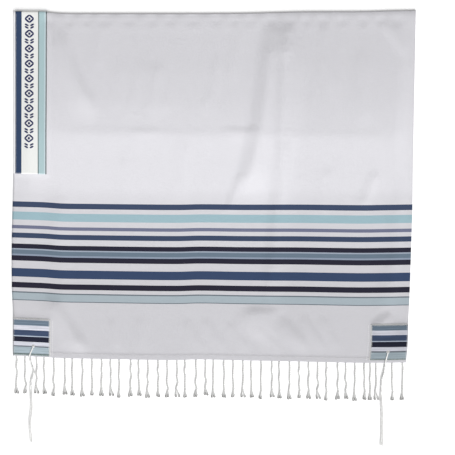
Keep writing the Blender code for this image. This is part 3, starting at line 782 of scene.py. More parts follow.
class Shader:
    """A material's node tree, with short ways to add and join its nodes."""

    def __init__(self, name, roughness, sheen=0.0):
        self.material = bpy.data.materials.new(name)
        self.material.use_nodes = True
        self.tree = self.material.node_tree
        self.surface = self.tree.nodes["Principled BSDF"]
        self.feed(self.surface, {
            "Roughness": roughness,
            "Sheen Weight": sheen,
            "Sheen Roughness": 0.5,
            "Specular IOR Level": SPECULAR,
        })

    def feed(self, node, inputs):
        """Sets each named or numbered input, or joins another node's output to it."""
        for name, value in inputs.items():
            socket = node.inputs[name]
            if isinstance(value, bpy.types.NodeSocket):
                self.tree.links.new(value, socket)
            elif socket.type == "RGBA":
                socket.default_value = value + (1.0,)
            else:
                socket.default_value = value

    def add(self, kind, inputs=(), **settings):
        node = self.tree.nodes.new("ShaderNode" + kind)
        for name, value in settings.items():
            setattr(node, name, value)
        self.feed(node, dict(inputs))
        return node

    def math(self, operation, *values):
        return self.add("Math", enumerate(values), operation=operation).outputs[0]

    def mixed(self, blend, share, first, second):
        """Mixes two colours; each is a colour or another node's output."""
        inputs = {0: share, 6: first, 7: second}
        return self.add("Mix", inputs, data_type="RGBA", blend_type=blend).outputs[2]

    def shaded(self, colour, by):
        return self.mixed("MULTIPLY", 1.0, colour, by)

    def ramp(self, factor, stops, stepped=False):
        node = self.add("ValToRGB", {0: factor})
        node.color_ramp.interpolation = "CONSTANT" if stepped else "EASE"
        elements = node.color_ramp.elements
        for number, (position, colour) in enumerate(stops):
            element = elements[number] if number < 2 else elements.new(position)
            element.position = position
            element.color = colour + (1.0,)
        return node.outputs[0]

    def noise(self, scale, detail=2.0, place=None):
        inputs = {"Scale": scale, "Detail": detail}
        if place is not None:
            inputs["Vector"] = place
        return self.add("TexNoise", inputs).outputs[0]

    def flat_map(self):
        """Metres across and metres from the fold, from the mesh's own flat map."""
        return self.add("UVMap", uv_map="Flat").outputs[0]

    def flat_coordinates(self):
        parts = self.add("SeparateXYZ", {0: self.flat_map()})
        return parts.outputs[0], parts.outputs[1]

    def bump(self, height, strength, distance):
        inputs = {"Strength": strength, "Distance": distance, "Height": height}
        return self.add("Bump", inputs).outputs[0]

    def weave(self, u, v, weave):
        """A plain weave as bump: threads over and under each other, with uneven yarn."""
        threads = [self.math("SINE", self.math("MULTIPLY", w, TURN / weave.pitch)) for w in (u, v)]
        crossing = self.math("MULTIPLY", *threads)
        noise = self.noise(YARN_NOISE_SCALE, 2.0, self.flat_map())
        uneven = self.math("MULTIPLY", noise, YARN_UNEVENNESS)
        return self.bump(self.math("ADD", crossing, uneven), weave.strength, WEAVE_DEPTH)

    def streaks(self, streaks):
        """A light and dark streak along the threads, as a grey to multiply a colour by."""
        inputs = {"Scale": streaks.stretch, "Vector": self.flat_map()}
        stretched = self.add("Mapping", inputs).outputs[0]
        noise = self.noise(STREAK_SCALE, 3.0, stretched)
        return self.ramp(noise, grey_stops([(0.3, streaks.low), (0.7, streaks.high)]))

    def finished(self, colour, normal):
        self.feed(self.surface, {"Base Color": colour, "Normal": normal})
        return self.material


def stripe_stops(stripes, ground, start, length):
    """Colour stops for stripes in millimetres over a run that starts and ends in metres."""
    stops = [(0.0, ground)]
    for stripe in stripes:
        first, last = ((edge / 1000 - start) / length for edge in (stripe.start, stripe.end))
        if first - stops[-1][0] < SAME_PLACE:
            stops.pop()
        stops += [(first, linear(stripe.colour)), (last, ground)]
    return [stop for stop in stops if stop[0] < 1.0]


def wool_material():
    """The shawl's cloth: white with woven stripes, and painted shade that greys it towards the fold
    and the hem.
    """
    shader = Shader("wool_cloth", 0.90, 0.02)
    u, v = shader.flat_coordinates()
    stops = stripe_stops(CLOTH_STRIPES, linear(WHITE_CLOTH), STRIPES_START, STRIPES_LENGTH)
    in_stripes = shader.math("DIVIDE", shader.math("SUBTRACT", v, STRIPES_START), STRIPES_LENGTH)
    colour = shader.ramp(shader.math("ADD", in_stripes, RAMP_STEP / 2), stops, True)
    down = shader.math("DIVIDE", v, HALF_LENGTH)
    # Painted shade and light down the cloth's length, darker at the fold and the hem
    colour = shader.shaded(colour, shader.ramp(down, grey_stops(CLOTH_PAINTED_SHADE)))
    colour = shader.shaded(colour, shader.streaks(CLOTH_STREAKS))
    across = shader.math("DIVIDE", u, CLOTH_WIDTH)
    colour = shader.shaded(colour, shader.ramp(across, grey_stops(RIGHT_TONES)))
    # Painted light: a paler strip beside the neckband, over the shadow that the band casts on the
    # cloth
    beside_band = shader.math("LESS_THAN", u, BAND_MARGIN)
    beside_band = shader.math("MULTIPLY", beside_band, shader.math("LESS_THAN", v, BAND_HALF_LENGTH))
    painted_light = shader.math("MULTIPLY", beside_band, PAINTED_LIGHT_SHARE)
    colour = shader.mixed("MIX", painted_light, colour, linear(BESIDE_BAND_PAINTED_LIGHT))
    edge = shader.math("MINIMUM", u, shader.math("SUBTRACT", CLOTH_WIDTH, u))
    near_edge = shader.math("LESS_THAN", edge, SELVEDGE_WIDTH)
    lines = shader.math("SINE", shader.math("MULTIPLY", edge, TURN / SELVEDGE_PITCH))
    dark = shader.math("MULTIPLY", near_edge, shader.math("GREATER_THAN", lines, SELVEDGE_LEVEL))
    share = shader.math("MULTIPLY", dark, SELVEDGE_SHARE)
    colour = shader.mixed("MULTIPLY", share, colour, GREY)
    return shader.finished(colour, shader.weave(u, v, WOOL_WEAVE))


def patch_material(side):
    """The patches' closely striped cloth, streaked by uneven yarn."""
    shader = Shader(f"patch_cloth_{side}", 0.90, 0.02)
    u, v = shader.flat_coordinates()
    stops = stripe_stops(PATCH_STRIPES, linear(PATCH_WHITE), 0.0, PATCH_SIZE)
    # Painted shade: each side's colours are scaled by its tone, darker on the right patch
    stops = [(position, toned(colour, PATCHES[side].tone)) for position, colour in stops]
    from_top = shader.math("SUBTRACT", v, LEFT_PATCH.top * HALF_LENGTH)
    colour = shader.ramp(shader.math("DIVIDE", from_top, PATCH_SIZE), stops, True)
    colour = shader.shaded(colour, shader.streaks(PATCH_STREAKS))
    return shader.finished(colour, shader.weave(u, v, WOOL_WEAVE))


def band_material():
    """The neckband: a smoother, faintly shining ribbon with borders along its length."""
    shader = Shader("neckband_ribbon", 0.60, 0.02)
    u, v = shader.flat_coordinates()
    stops = stripe_stops(BAND_STRIPES, linear(BAND_WHITE), 0.0, BAND_WIDTH)
    from_left = shader.math("SUBTRACT", u, BAND.left * CLOTH_WIDTH)
    colour = shader.ramp(shader.math("DIVIDE", from_left, BAND_WIDTH), stops, True)
    colour = shader.shaded(colour, shader.streaks(BAND_STREAKS))
    return shader.finished(colour, shader.weave(u, v, RIBBON_WEAVE))


def thread_material(name, colour, roughness, sheen=0.2):
    """Spun thread: fine fibres as bump, and a faint unevenness of tone."""
    shader = Shader(name, roughness, sheen)
    place = shader.add("TexCoord").outputs["Object"]
    fibres = shader.noise(FIBRE_SCALE, 3.0, place)
    clouds = shader.noise(CLOUD_SCALE, 2.0, place)
    pale = linear(colour)
    tone = shader.ramp(clouds, [(0.3, toned(pale, CLOUD_TONE)), (0.7, pale)])
    return shader.finished(tone, shader.bump(fibres, FIBRE_STRENGTH, FIBRE_DEPTH))


# Threads, knots and stitches

class Pile:
    """Many small bodies gathered into one mesh."""

    def __init__(self):
        self.points = []
        self.faces = []
        self.count = 0

    def add(self, points, faces):
        self.points.append(points)
        self.faces += [tuple(i + self.count for i in face) for face in faces]
        self.count += len(points)

    def piece(self, name, material, slot):
        piece = mesh_object(name, np.concatenate(self.points), self.faces, material)
        return piece


def ring_faces(rings, sides, closed=False):
    """Faces from ring to ring. A closed row meets itself, an open one has a point at each end."""
    faces = []
    for ring in range(rings if closed else rings - 1):
        near, far = ring * sides, (ring + 1) % rings * sides
        for k in range(sides):
            after = (k + 1) % sides
            faces.append((near + k, near + after, far + after, far + k))
    if not closed:
        first, last, end = rings * sides, rings * sides + 1, (rings - 1) * sides
        for k in range(sides):
            after = (k + 1) % sides
            faces += [(first, after, k), (last, end + k, end + after)]
    return faces


def skin(line, out, beside, wide, high):
    """Points round a line, as far out and beside it as stated for each side."""
    points = line[:, None] + out[:, None] * wide[..., None] + beside[:, None] * high[..., None]
    return points.reshape(-1, 3)


def round_section(radius, sides):
    return radius * np.cos(circle(sides)), radius * np.sin(circle(sides))


def capped(points, line, sides):
    """A skin's points and faces, closed by its line's two ends."""
    return np.concatenate([points, line[:1], line[-1:]]), ring_faces(len(line), sides)


def tube(path, radii, sides, lobes=0.0, twist=PLY_TWIST, flatten=1.0):
    """A tube along a path; lobes and twist make it look plied."""
    path = np.asarray(path, float)
    ways = unit(np.gradient(path, axis=0))
    side = unit(np.array([1.0, 0.0, 0.0]) - ways * ways[:, :1])
    angle = circle(sides)
    swell = 1 + lobes * np.cos(2 * (angle - twist * run_length(path)[:, None]))
    reach = np.broadcast_to(radii, (len(path),))[:, None] * swell
    high = reach * np.sin(angle) * flatten
    return capped(skin(path, side, np.cross(side, ways), reach * np.cos(angle), high), path, sides)


def smooth_path(places, step):
    """Evenly spaced points on a smooth curve through the places."""
    places = np.asarray(places, float)
    padded = np.concatenate([2 * places[:1] - places[1:2], places, 2 * places[-1:] - places[-2:-1]])
    pieces = []
    for before, start, end, after in zip(padded, padded[1:], padded[2:], padded[3:]):
        count = max(int(np.linalg.norm(end - start) / step), 2)
        share = np.arange(count)[:, None] / count
        pieces.append(curve(share, start, end, (end - before) / 2, (after - start) / 2))
    return np.concatenate(pieces + [places[-1:]])


def stitch(start, end, up, width, height):
    """One thread lying on cloth from start to end, thinner at its ends."""
    way = end - start
    shares, swells = np.array(STITCH_SHARES).T[..., None]
    line = start + way * shares
    angle = circle(STITCH_SIDES)
    wide = swells * np.cos(angle) * width / 2
    high = swells * np.sin(angle) * height / 2
    points = skin(line, unit(np.cross(way, up))[None], up[None], wide, high)
    return capped(points, line, STITCH_SIDES)


def face_point(across, down):
    return np.stack([*flat_place(across, down), resting_height(across, down)], 1)


def face_place(spots, raised):
    """Points over the upper half's outer face at shares of its size, and the ways up from it."""
    nudge = 0.001
    across, down = np.asarray(spots, float).T
    here = face_point(across, down)
    along = face_point(across + nudge, down) - here
    up = unit(np.cross(face_point(across, down + nudge) - here, along))
    return here + SHIFT + up * raised, up


def sew(pile, heads, tails, raised, width, height):
    """Stitches over the face, each from its head to its tail."""
    starts, ups = face_place(heads, raised)
    for start, end, up in zip(starts, face_place(tails, raised)[0], ups):
        pile.add(*stitch(start, end, up, width, height))


def stitch_run(pile, start, end, raised, kind=TOP_STITCH):
    """A run of stitches between two places on the upper half."""
    start, end = np.array(start), np.array(end)
    distance = np.linalg.norm((end - start) * SCALE)
    count = int(distance / kind.pitch)
    shares = ((np.arange(count) + 0.5) / count)[:, None]
    half = kind.length / 2 / distance
    heads, tails = (start + (end - start) * (shares + out) for out in (-half, half))
    sew(pile, heads, tails, raised, kind.width, kind.width * STITCH_FLATNESS)


def zigzag(pile, start, end, outward):
    """A zigzag of thread over a patch's edge, from on the patch to the cloth beside it."""
    start, end, outward = np.array(start), np.array(end), np.array(outward)
    count = int(np.linalg.norm((end - start) * SCALE) / ZIGZAG_PITCH)
    run = np.linspace(0, 1, count + 1)[:, None]
    beside = (np.arange(count + 1) % 2)[:, None]
    inner = start - outward * ZIGZAG_INSIDE / SCALE
    spots = inner + (end - start) * run + outward * beside * ZIGZAG_WIDTH / SCALE
    raised = np.where(beside == 0, TRIM_TOP + HIGH_STITCH_RISE, ZIGZAG_OUTER_RISE)
    points, ups = face_place(spots, raised)
    for first, second, up in zip(points, points[1:], ups):
        pile.add(*stitch(first, second, up, *ZIGZAG_THREAD))


# The cloth and what is sewn on it

def make_cloth(material):
    """The folded cloth, one thin shell from the upper hem round the fold to the lower hem."""
    hem_marks = [1 - depth / HALF_LENGTH for depth in (HEM_DEPTH + HEM_EDGE, HEM_DEPTH, HEM_EDGE)]
    eyelet = EYELETS["left"]
    upper = [BEND_START, 1.0, eyelet.top, eyelet.bottom] + hem_marks
    lower = [BEND_START, 1.0, BAND.bottom, BAND.bottom + RAMP_DOWN]
    lower += [LEFT_PATCH.top, LEFT_PATCH.top - RAMP_DOWN]
    marks = [0.0, 1.0, BAND.right, BAND.right + RAMP_ACROSS]
    marks += [LEFT_PATCH.right, LEFT_PATCH.right + RAMP_ACROSS]
    marks += [RIGHT_PATCH.left, RIGHT_PATCH.left - RAMP_ACROSS]
    for region in EYELETS.values():
        marks += [region.left, region.right]
    across = filled_lines(marks, ACROSS_STEP / CLOTH_WIDTH)
    rows = wrapped_rows(
        filled_lines(upper, DOWN_STEP / HALF_LENGTH),
        filled_lines(lower, LOWER_STEP / HALF_LENGTH),
    )
    points = outer_face(across, rows)
    from_hem = (1 - np.array([row.down for row in rows])) * HALF_LENGTH
    is_upper = np.array([row.turn == 0.0 for row in rows])
    turned = (from_hem < HEM_DEPTH + HEM_EDGE / 2) & (from_hem > HEM_EDGE / 2) & is_upper
    points[:, :, 2] += HEM_RISE * turned
    holes = set().union(*(cells_inside(region, across, rows) for region in EYELETS.values()))
    cloth = grid_piece("shawl", points, flat_uvs(across, rows), CLOTH_THICKNESS, material, holes)
    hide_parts("shawl_cloth")
    return cloth


def sewn_piece(name, across, rows, material, node, open_cells=(), cut=0.0):
    """A sheet sewn on the cloth, a seam's gap over its outer face."""
    points = outer_face(across, rows)
    up = unit(np.cross(np.gradient(points, axis=0), np.gradient(points, axis=1)))
    uvs = flat_uvs(across, rows, cut)
    piece = grid_piece(name, points + up * TRIM_TOP, uvs, TRIM_THICKNESS, material, open_cells)
    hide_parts(node)
    return piece


def make_neckband(material):
    down = [BEND_START, BAND.bottom]
    upper, lower = (filled_lines(down, step / HALF_LENGTH) for step in (TRIM_STEP, LOWER_STEP))
    across = filled_lines([BAND.left, BAND.right], TRIM_STEP / CLOTH_WIDTH)
    rows = wrapped_rows(upper, lower)
    return sewn_piece("neckband_ribbon", across, rows, material, "neckband")


def make_patch(half, side, material):
    region, eyelet = PATCH_REGIONS[side], EYELETS[side]
    marks = [region.left, region.right, eyelet.left, eyelet.right]
    across = filled_lines(marks, TRIM_STEP / CLOTH_WIDTH)
    downs = [region.top, region.bottom, eyelet.top, eyelet.bottom]
    downs = filled_lines(downs, TRIM_STEP / HALF_LENGTH)
    if half == "upper":
        rows = [Row(down, 0.0) for down in reversed(downs)]
    else:
        rows = [Row(down, math.pi) for down in downs]
    holes = cells_inside(eyelet, across, rows)
    name, node = f"patch_{half}_{side}", f"corner_patch_{half}_{side}"
    cut = PATCHES[side].cut
    return sewn_piece(name, across, rows, material, node, holes, cut)


def stitched_edges(pile, region, top, with_top_edge):
    """Top-stitching a little inside a region's edges."""
    inset_across, inset_down = STITCH_INSET / SCALE
    left, right = region.left + inset_across, region.right - inset_across
    bottom = region.bottom - inset_down
    edges = [((left, top), (left, bottom)), ((right, top), (right, bottom))]
    edges.append(((left, bottom), (right, bottom)))
    if with_top_edge:
        edges.append(((left, top), (right, top)))
    for start, end in edges:
        stitch_run(pile, start, end, TRIM_TOP + STITCH_RISE)


def make_stitching(material):
    """Top-stitching round the neckband and patches, and along the turned hem."""
    pile = Pile()
    stitched_edges(pile, BAND, BAND_STITCHES_START / HALF_LENGTH, False)
    pieces = [pile.piece("stitching_neckband", material, "white_cotton")]
    for side, region in PATCH_REGIONS.items():
        pile = Pile()
        stitched_edges(pile, region, region.top + STITCH_INSET / HALF_LENGTH, True)
        outward = -PATCHES[side].side
        edge = region.right if outward > 0 else region.left
        row = edge + outward * SECOND_ROW / CLOTH_WIDTH
        zigzag(pile, (edge, region.top), (edge, region.bottom), (outward, 0))
        zigzag(pile, (region.left, region.top), (region.right, region.top), (0, -1))
        ends = (row, region.top), (row, region.bottom)
        stitch_run(pile, *ends, HIGH_STITCH_RISE, SECOND_STITCH)
        pieces.append(pile.piece(f"stitching_patch_{side}", material, "white_cotton"))
    pile = Pile()
    row = 1 - (HEM_DEPTH - HEM_EDGE) / HALF_LENGTH
    start = LEFT_PATCH.right + HEM_STITCH_MARGIN
    end = RIGHT_PATCH.left - HEM_STITCH_MARGIN
    stitch_run(pile, (start, row), (end, row), HEM_RISE + LOW_STITCH_RISE)
    return pieces + [pile.piece("stitching_hem", material, "white_cotton")]


def make_ornament(material):
    """A plain repeated ornament in satin stitch along the neckband's white middle."""
    pile = Pile()
    for repeat in range(ORNAMENT_REPEATS):
        start = np.array([ORNAMENT_CENTRE, ORNAMENT_START + repeat * ORNAMENT_PITCH])
        for stroke in ORNAMENT:
            head = np.array([stroke.across_start, stroke.along_start]) / 1000
            tail = np.array([stroke.across_end, stroke.along_end]) / 1000
            ends = [[(start + end) / SCALE + (BAND.left, 0.0)] for end in (head, tail)]
            width = stroke.width / 1000
            sew(pile, *ends, TRIM_TOP + LOW_STITCH_RISE, width, ORNAMENT_HEIGHT)
    return pile.piece("neckband_ornament", material, "band_cloth")


def make_eyelet(side, material):
    """Buttonhole stitches round the hole that the tassel's strings go through."""
    region = EYELETS[side]
    centre = np.array([region.left + region.right, region.top + region.bottom]) / 2
    angle = circle(EYELET_STITCHES)[:, None]
    ways = np.hstack([np.cos(angle), np.sin(angle)])
    inner, outer = (centre + ways * reach / SCALE for reach in (EYELET_INNER, EYELET_OUTER))
    pile = Pile()
    sew(pile, inner, outer, TRIM_TOP + HIGH_STITCH_RISE, *EYELET_THREAD)
    return pile.piece(f"eyelet_{side}", material, "white_cotton")


# Fringe and tassels

def hem_line(x):
    """How far along the cloth its hem lies at a place across it."""
    return float(flat_place(np.array([x / WIDTH_AT_HEM]), np.array([1.0]))[1][0])


def hem_exit(side):
    """Where a corner tassel leaves the cloth."""
    x = TASSELS[side].eyelet_across + TASSELS[side].lean
    return x, hem_line(x)


def strand_root(number, count):
    last = WIDTH_AT_HEM - FRINGE_MARGIN
    x = FRINGE_MARGIN + (last - FRINGE_MARGIN) * number / (count - 1)
    x += ROOT_SPREAD * wobble(number, 1) * (0 < number < count - 1)
    for side, tassel in TASSELS.items():
        crossing = hem_exit(side)[0]
        if crossing - tassel.keep_left < x < crossing:
            x = crossing - tassel.keep_left
        if crossing <= x < crossing + tassel.keep_right:
            x = crossing + tassel.keep_right
    return x


def strand_roots(count):
    """The strands' places across the hem, each a little apart from the one on its right."""
    roots = [strand_root(number, count) for number in range(count)]
    for number in reversed(range(count - 1)):
        roots[number] = min(roots[number], roots[number + 1] - STRAND_SPACING)
    return roots


def strand_path(x, y, number, upper, hem_z):
    """A fringe strand's middle line, from inside the hem to its knot, and the strand's tip."""
    length = FRINGE_LENGTH * (1.0 + LENGTH_SPREAD * wobble(number, 2))
    rest = FLOOR_GAP + STRAND_HEIGHT / 2 + (STRAND_HEIGHT + STRAND_GAP) * upper
    places = [(x, y + INSIDE_HEM, hem_z), (x, y - STRAND_DROP, (hem_z + rest) / 2)]
    for share in STRAND_MARKS:
        down = share * KNOT_AT
        drift = DRIFT_SPREAD * wobble(number + DRIFT_RATE * down, 3) * down
        drift += waved(DRIFT_WAVE, down, number)
        places.append((x + drift, y - length * down, rest))
    tip = np.array([x + DRIFT_SPREAD * wobble(number + DRIFT_RATE, 3), y - length, rest])
    path = smooth_path(places, STRAND_STEP)
    path[:, 2] = np.maximum(path[:, 2], rest)
    return path, tip


def add_strand(pile, path, number):
    """Two yarns that turn round each other from the hem to the knot, closer at both ends."""
    run = run_length(path)
    apart = (STRAND_BREADTH / 2 - YARN_RADIUS) * (1 + waved(APART_WAVE, run, number))
    for taper, distance in ((HEM_TAPER, run), (KNOT_TAPER, run[-1] - run)):
        apart *= taper.share + (1 - taper.share) * smooth_step(0.0, taper.length, distance)
    for yarn in (0, math.pi):
        line = path.copy()
        line[:, 0] += np.cos(TURN * run / STRAND_TURN + yarn + number) * apart
        radii = YARN_RADIUS * (1 + waved(SWELL_WAVE, run, yarn + number))
        pile.add(*tube(line + SHIFT, radii, YARN_SIDES, YARN_LOBES, flatten=STRAND_FLATNESS))


def add_loop(pile, centre, way, tilt, size, count, radius):
    """A closed loop of thread round a strand, tilted across it."""
    axis = way * math.cos(tilt) + np.cross(way, UP) * math.sin(tilt)
    angle = circle(count)[:, None]
    out = np.cos(angle) * np.cross(axis, UP) * size[0] + np.sin(angle) * UP * size[1]
    points = skin(centre + out, unit(out), axis[None], *round_section(radius, LOOP_SIDES))
    pile.add(points, [face[:1] + face[:0:-1] for face in ring_faces(count, LOOP_SIDES, True)])


def add_knot(pile, centre, way):
    """A small overhand knot: two fat loops that cross over each other."""
    width = STRAND_KNOT_WIDTH / 2 - KNOT_LOOP_RADIUS
    height = STRAND_HEIGHT / 2 - KNOT_LOOP_RADIUS
    for tilt in KNOT_TILTS:
        add_loop(pile, centre, way, tilt, (width, height), KNOT_STEPS, KNOT_THREAD_RADIUS)


def add_legs(pile, ends, knot, tip, number):
    """The two yarns below a knot, spread apart, each with a knotted end and loose fibres."""
    reach = TUFT_WIDTH / 2 * (1 + TUFT_SPREAD * wobble(number, 8)) - LEG_RADIUS
    for leg in (-1, 1):
        end = knot + (tip - knot) * varied(LEG_LENGTH, number * 2 + leg, 6)
        middle = (knot + end) / 2
        end[0] += leg * reach * varied(LEG_REACH, number * 2 + leg, 9)
        middle[0] += leg * reach * LEG_MIDDLE_REACH
        way = unit(end - middle)
        path = smooth_path([knot, middle, end], LEG_STEP)
        pile.add(*tube(path, LEG_RADIUS, YARN_SIDES, PLY_LOBES, flatten=LEG_FLATNESS))
        bead = [end - way * back for back in LEG_KNOT_PLACES]
        sizes = np.array(LEG_KNOT_SHARES) * LEG_KNOT_RADIUS
        flatness = STRAND_HEIGHT / 2 / LEG_KNOT_RADIUS
        ends.add(*tube(bead, sizes, LEG_KNOT_SIDES, LEG_KNOT_LOBES, 0.0, flatness))
        for hair in range(HAIRS):
            add_hair(ends, end, way, tip, number, hair)


def add_hair(ends, end, way, tip, number, hair):
    """One loose fibre beside a leg's end."""
    aside = ((hair + 0.5) / HAIRS * 2 - 1) * HAIR_SPREAD
    rise = (STRAND_HEIGHT / 2 - HAIR_RADIUS) * wobble(number * 3 + hair, 4)
    root = end - way * (HAIR_ROOT + HAIR_ROOT_STEP * (hair % 3))
    far = root + way * HAIR_LENGTH * varied(HAIR_VARIES, number + hair * 5, 6)
    far = far + np.array([aside, 0.0, rise])
    far[1] = max(far[1], tip[1])
    middle = (root + far) / 2 + np.array([aside * HAIR_MIDDLE[0], 0.0, rise * HAIR_MIDDLE[1]])
    sizes = [HAIR_RADIUS, HAIR_RADIUS, HAIR_RADIUS * HAIR_TAPER]
    ends.add(*tube([root, middle, far], sizes, HAIR_SIDES))


def make_fringe(half, material, ends_material):
    """Twisted strands along one hem, each knotted, with its two yarns apart below the knot."""
    upper = half == "upper"
    count = round((WIDTH_AT_HEM - 2 * FRINGE_MARGIN) / FRINGE_PITCH) + 1
    pile = Pile()
    ends = Pile()
    for number, x in enumerate(strand_roots(count)):
        place = np.array([x / WIDTH_AT_HEM]), np.array([1.0])
        if upper:
            hem_z = float(resting_height(*place)[0]) - CLOTH_THICKNESS / 2
        else:
            hem_z = float(cover_height(*place)[0]) + CLOTH_THICKNESS / 2
        path, tip = strand_path(x, hem_line(x), number, upper, hem_z)
        add_strand(pile, path, number)
        add_knot(pile, path[-1] + SHIFT, unit(tip - path[-1]))
        add_legs(pile, ends, path[-1] + SHIFT, tip + SHIFT, number)
    pieces = [
        pile.piece(f"fringe_strands_{half}", material, "white_wool"),
        ends.piece(f"fringe_ends_{half}", ends_material, "white_wool"),
    ]
    for piece in pieces:
        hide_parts(f"fringe_{half}")
    return pieces


def make_tassel(half, side, material):
    """A corner tassel: strings through the eyelet, five knots with windings, then loose strands."""
    upper = half == "upper"
    exit_x, hem_y = hem_exit(side)
    loose_rest = FLOOR_GAP + LOOSE_WIDTH + LOOSE_GAP / 2 + 2 * (LOOSE_WIDTH + LOOSE_GAP) * upper
    wound_rest = FLOOR_GAP + TASSEL_KNOT_HEIGHT / 2 + (TASSEL_KNOT_HEIGHT + STRAND_GAP) * upper

    def place(down, height):
        sway = float(eased(SWAYS, side, np.array([down]))[0])
        return np.array([exit_x + sway, hem_y - down, height])

    pile = Pile()
    first, last = FIRST_KNOT - CORE_MARGINS[0], KNOTTED_LENGTH + CORE_MARGINS[1]
    downs = np.linspace(first, last, CORE_STEPS)
    core = np.array([place(down, wound_rest) for down in downs]) + SHIFT
    pile.add(*tube(core, CORE_RADIUS, CORE_SIDES))
    add_windings(pile, core)
    for down in np.linspace(FIRST_KNOT, KNOTTED_LENGTH, TASSEL_KNOTS):
        way = unit(place(down + 0.001, wound_rest) - place(down - 0.001, wound_rest))
        for loop in TASSEL_LOOPS:
            middle = place(down, wound_rest) + SHIFT + way * loop.offset
            size, steps = TASSEL_LOOP_SIZE, TASSEL_LOOP_STEPS
            add_loop(pile, middle, way, loop.tilt, size, steps, TASSEL_LOOP_RADIUS)
    add_strings(pile, side, upper, exit_x, hem_y, wound_rest)
    add_loose_strands(pile, TASSELS[side].length, place, wound_rest, loose_rest)
    piece = pile.piece(f"tassel_cords_{half}_{side}", material, "white_cotton")
    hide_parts(f"tassel_{half}_{side}")
    return piece


def add_windings(pile, core):
    """A thread wound closely round the core."""
    run = run_length(core)
    turns = int(run[-1] / WRAP_PITCH)
    steps = turns * WRAP_STEPS
    along = np.linspace(0, run[-1], steps)
    middle = np.stack([np.interp(along, run, core[:, k]) for k in range(3)], 1)
    angle = np.linspace(0, turns * TURN, steps)
    flat = np.stack([np.cos(angle), np.zeros(steps), np.sin(angle) * WRAP_FLATNESS], 1)
    line = middle + flat * (WOUND_RADIUS - WRAP_RADIUS)
    out = unit(flat)
    beside = np.cross(unit(np.gradient(line, axis=0)), out)
    points = skin(line, out, beside, *round_section(WRAP_RADIUS, WRAP_SIDES))
    pile.add(*capped(points, line, WRAP_SIDES))


def add_strings(pile, side, upper, exit_x, hem_y, wound_rest):
    """The strings from the first knot over the hem to the eyelet, and through it."""
    region = EYELETS[side]
    across = np.array([(region.left + region.right) / 2])
    down = np.array([(region.top + region.bottom) / 2])
    eyelet_x, eyelet_y = (float(value[0]) for value in flat_place(across, down))
    inside = TRIM_TOP + CLOTH_THICKNESS + AIR / 2
    patch_top = 2 * (TRIM_TOP + CLOTH_THICKNESS) + AIR
    over = patch_top + STRING_RADIUS + STRING_RISE if upper else inside
    for string in range(STRINGS):
        aside = (string - (STRINGS - 1) / 2) * STRING_PITCH
        gathered = aside * STRINGS_GATHERED
        x = eyelet_x + gathered
        places = [
            (exit_x + gathered * STRINGS_AT_KNOT, hem_y - FIRST_KNOT + 0.001, wound_rest),
            (exit_x + gathered, hem_y - 0.005, (wound_rest + over) / 2 + 0.0004),
            (exit_x + aside, hem_y + 0.001, over),
            ((exit_x + eyelet_x) / 2 + aside, (hem_y + eyelet_y) / 2, over),
            (x, eyelet_y - 0.0022, over),
        ]
        if upper:
            places += [
                (x, eyelet_y - 0.0004, over - 0.0009),
                (x, eyelet_y + 0.0001, inside + 0.0006),
                (x, eyelet_y - 0.0020, inside),
                (x, eyelet_y - 0.0100, inside),
            ]
        else:
            places.append((x, eyelet_y, over - 0.0002))
        path = smooth_path(places, STRING_STEP)
        pile.add(*tube(path + SHIFT, STRING_RADIUS, STRING_SIDES, PLY_LOBES))


def add_loose_strands(pile, tassel_length, place, wound_rest, loose_rest):
    """Strands that hang free below the last knot in two layers, each with a thick end."""
    pitch = LOOSE_WIDTH + LOOSE_GAP
    for strand in range(LOOSE_STRANDS):
        aside = (strand % LOOSE_COLUMNS - 1.5) * pitch
        rise = (strand // LOOSE_COLUMNS - 0.5) * pitch
        places = [place(LOOSE_START, wound_rest) + np.array([aside * 0.4, 0, rise * 0.5])]
        length = tassel_length + LOOSE_SPREAD * wobble(strand, 5)
        for share in np.linspace(0.08, 1.0, 9):
            down = LOOSE_START + (length - LOOSE_START) * share
            wander = waved(WANDER_WAVE, share, strand) * share
            spot = place(min(down, SWAYS[-1].down), loose_rest)
            spot[1] = place(0, 0)[1] - down
            places.append(spot + np.array([aside + wander, 0, rise]))
        path = smooth_path(places, LOOSE_STEP)
        near_end = np.linspace(0, 1, len(path)) > LOOSE_END
        radii = LOOSE_WIDTH / 2 * np.where(near_end, LOOSE_END_SWELL, 1.0)
        pile.add(*tube(path + SHIFT, radii, LOOSE_SIDES, PLY_LOBES, LOOSE_TWIST))


# Stage, light and camera

def make_stage():
    shader = Shader("floor_paper", 0.9)
    white = linear(FLOOR_WHITE)
    tone = shader.ramp(shader.noise(FLOOR_SCALE), [(0.4, toned(white, FLOOR_TONE)), (0.6, white)])
    glow = {"Emission Color": (1.0, 1.0, 1.0), "Emission Strength": FLOOR_GLOW}
    shader.feed(shader.surface, {"Base Color": tone, **glow})
    bpy.ops.mesh.primitive_plane_add(size=FLOOR_SIZE, location=(0, 0, -FLOOR_DROP))
    floor = bpy.context.object
    floor.name = "floor"
    floor.data.materials.append(shader.material)


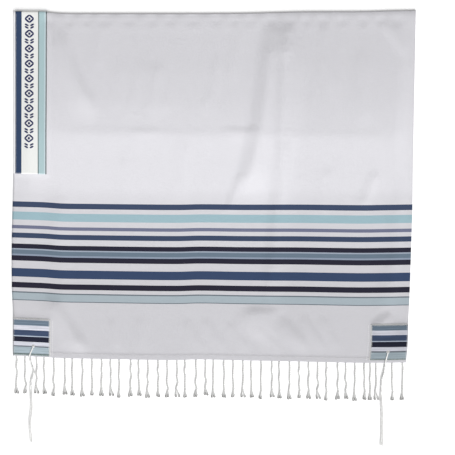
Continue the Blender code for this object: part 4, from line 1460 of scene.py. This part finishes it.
def make_light():
    world = bpy.data.worlds.new("studio")
    world.use_nodes = True
    sky = world.node_tree.nodes["Background"]
    sky.inputs["Color"].default_value = (1.0, 1.0, 1.0, 1.0)
    sky.inputs["Strength"].default_value = SKY_STRENGTH
    bpy.context.scene.world = world
    for lamp in LAMPS:
        light = bpy.data.lights.new(lamp.name, "AREA")
        light.shape = "SQUARE"
        light.size = lamp.size
        light.energy = lamp.watts
        thing = bpy.data.objects.new(lamp.name, light)
        bpy.context.scene.collection.objects.link(thing)
        thing.location = lamp.place
        thing.rotation_euler = (-Vector(lamp.place)).to_track_quat("-Z", "Y").to_euler()


def make_camera():
    camera = bpy.data.cameras.new("camera")
    camera.sensor_width = SENSOR_WIDTH
    camera.lens = SENSOR_WIDTH * CAMERA_HEIGHT / VIEW_SPAN
    camera.clip_end = 100.0
    thing = bpy.data.objects.new("camera", camera)
    bpy.context.scene.collection.objects.link(thing)
    thing.location = (VIEW_CENTRE[0] + SHIFT[0], VIEW_CENTRE[1] + SHIFT[1], CAMERA_HEIGHT)
    bpy.context.scene.camera = thing


def main():
    bpy.context.scene.view_settings.view_transform = "Standard"
    make_camera()
    make_light()
    make_stage()
    wool = wool_material()
    patch_cloth = {side: patch_material(side) for side in PATCHES}
    ribbon = band_material()
    # The fringe's greys are painted shade on white wool
    fringe_yarn = thread_material("fringe_yarn", FRINGE_SHADED_WHITE, 0.85)
    fringe_ends = thread_material("fringe_ends", FRINGE_ENDS_SHADE, 0.90)
    cotton = thread_material("cotton_thread", THREAD_WHITE, 0.80)
    navy_silk = thread_material("navy_silk", NAVY_SILK, 0.50, 0.1)

    corners = [(half, side) for half in ("upper", "lower") for side in PATCHES]
    cloth = make_cloth(wool)
    sewn = [make_neckband(ribbon)]
    sewn += [make_patch(half, side, patch_cloth[side]) for half, side in corners]
    sewn += make_stitching(cotton)
    sewn.append(make_ornament(navy_silk))
    sewn += [make_eyelet(side, cotton) for side in TASSELS]
    for half in ("upper", "lower"):
        sewn += make_fringe(half, fringe_yarn, fringe_ends)
    sewn += [make_tassel(half, side, cotton) for half, side in corners]


main()
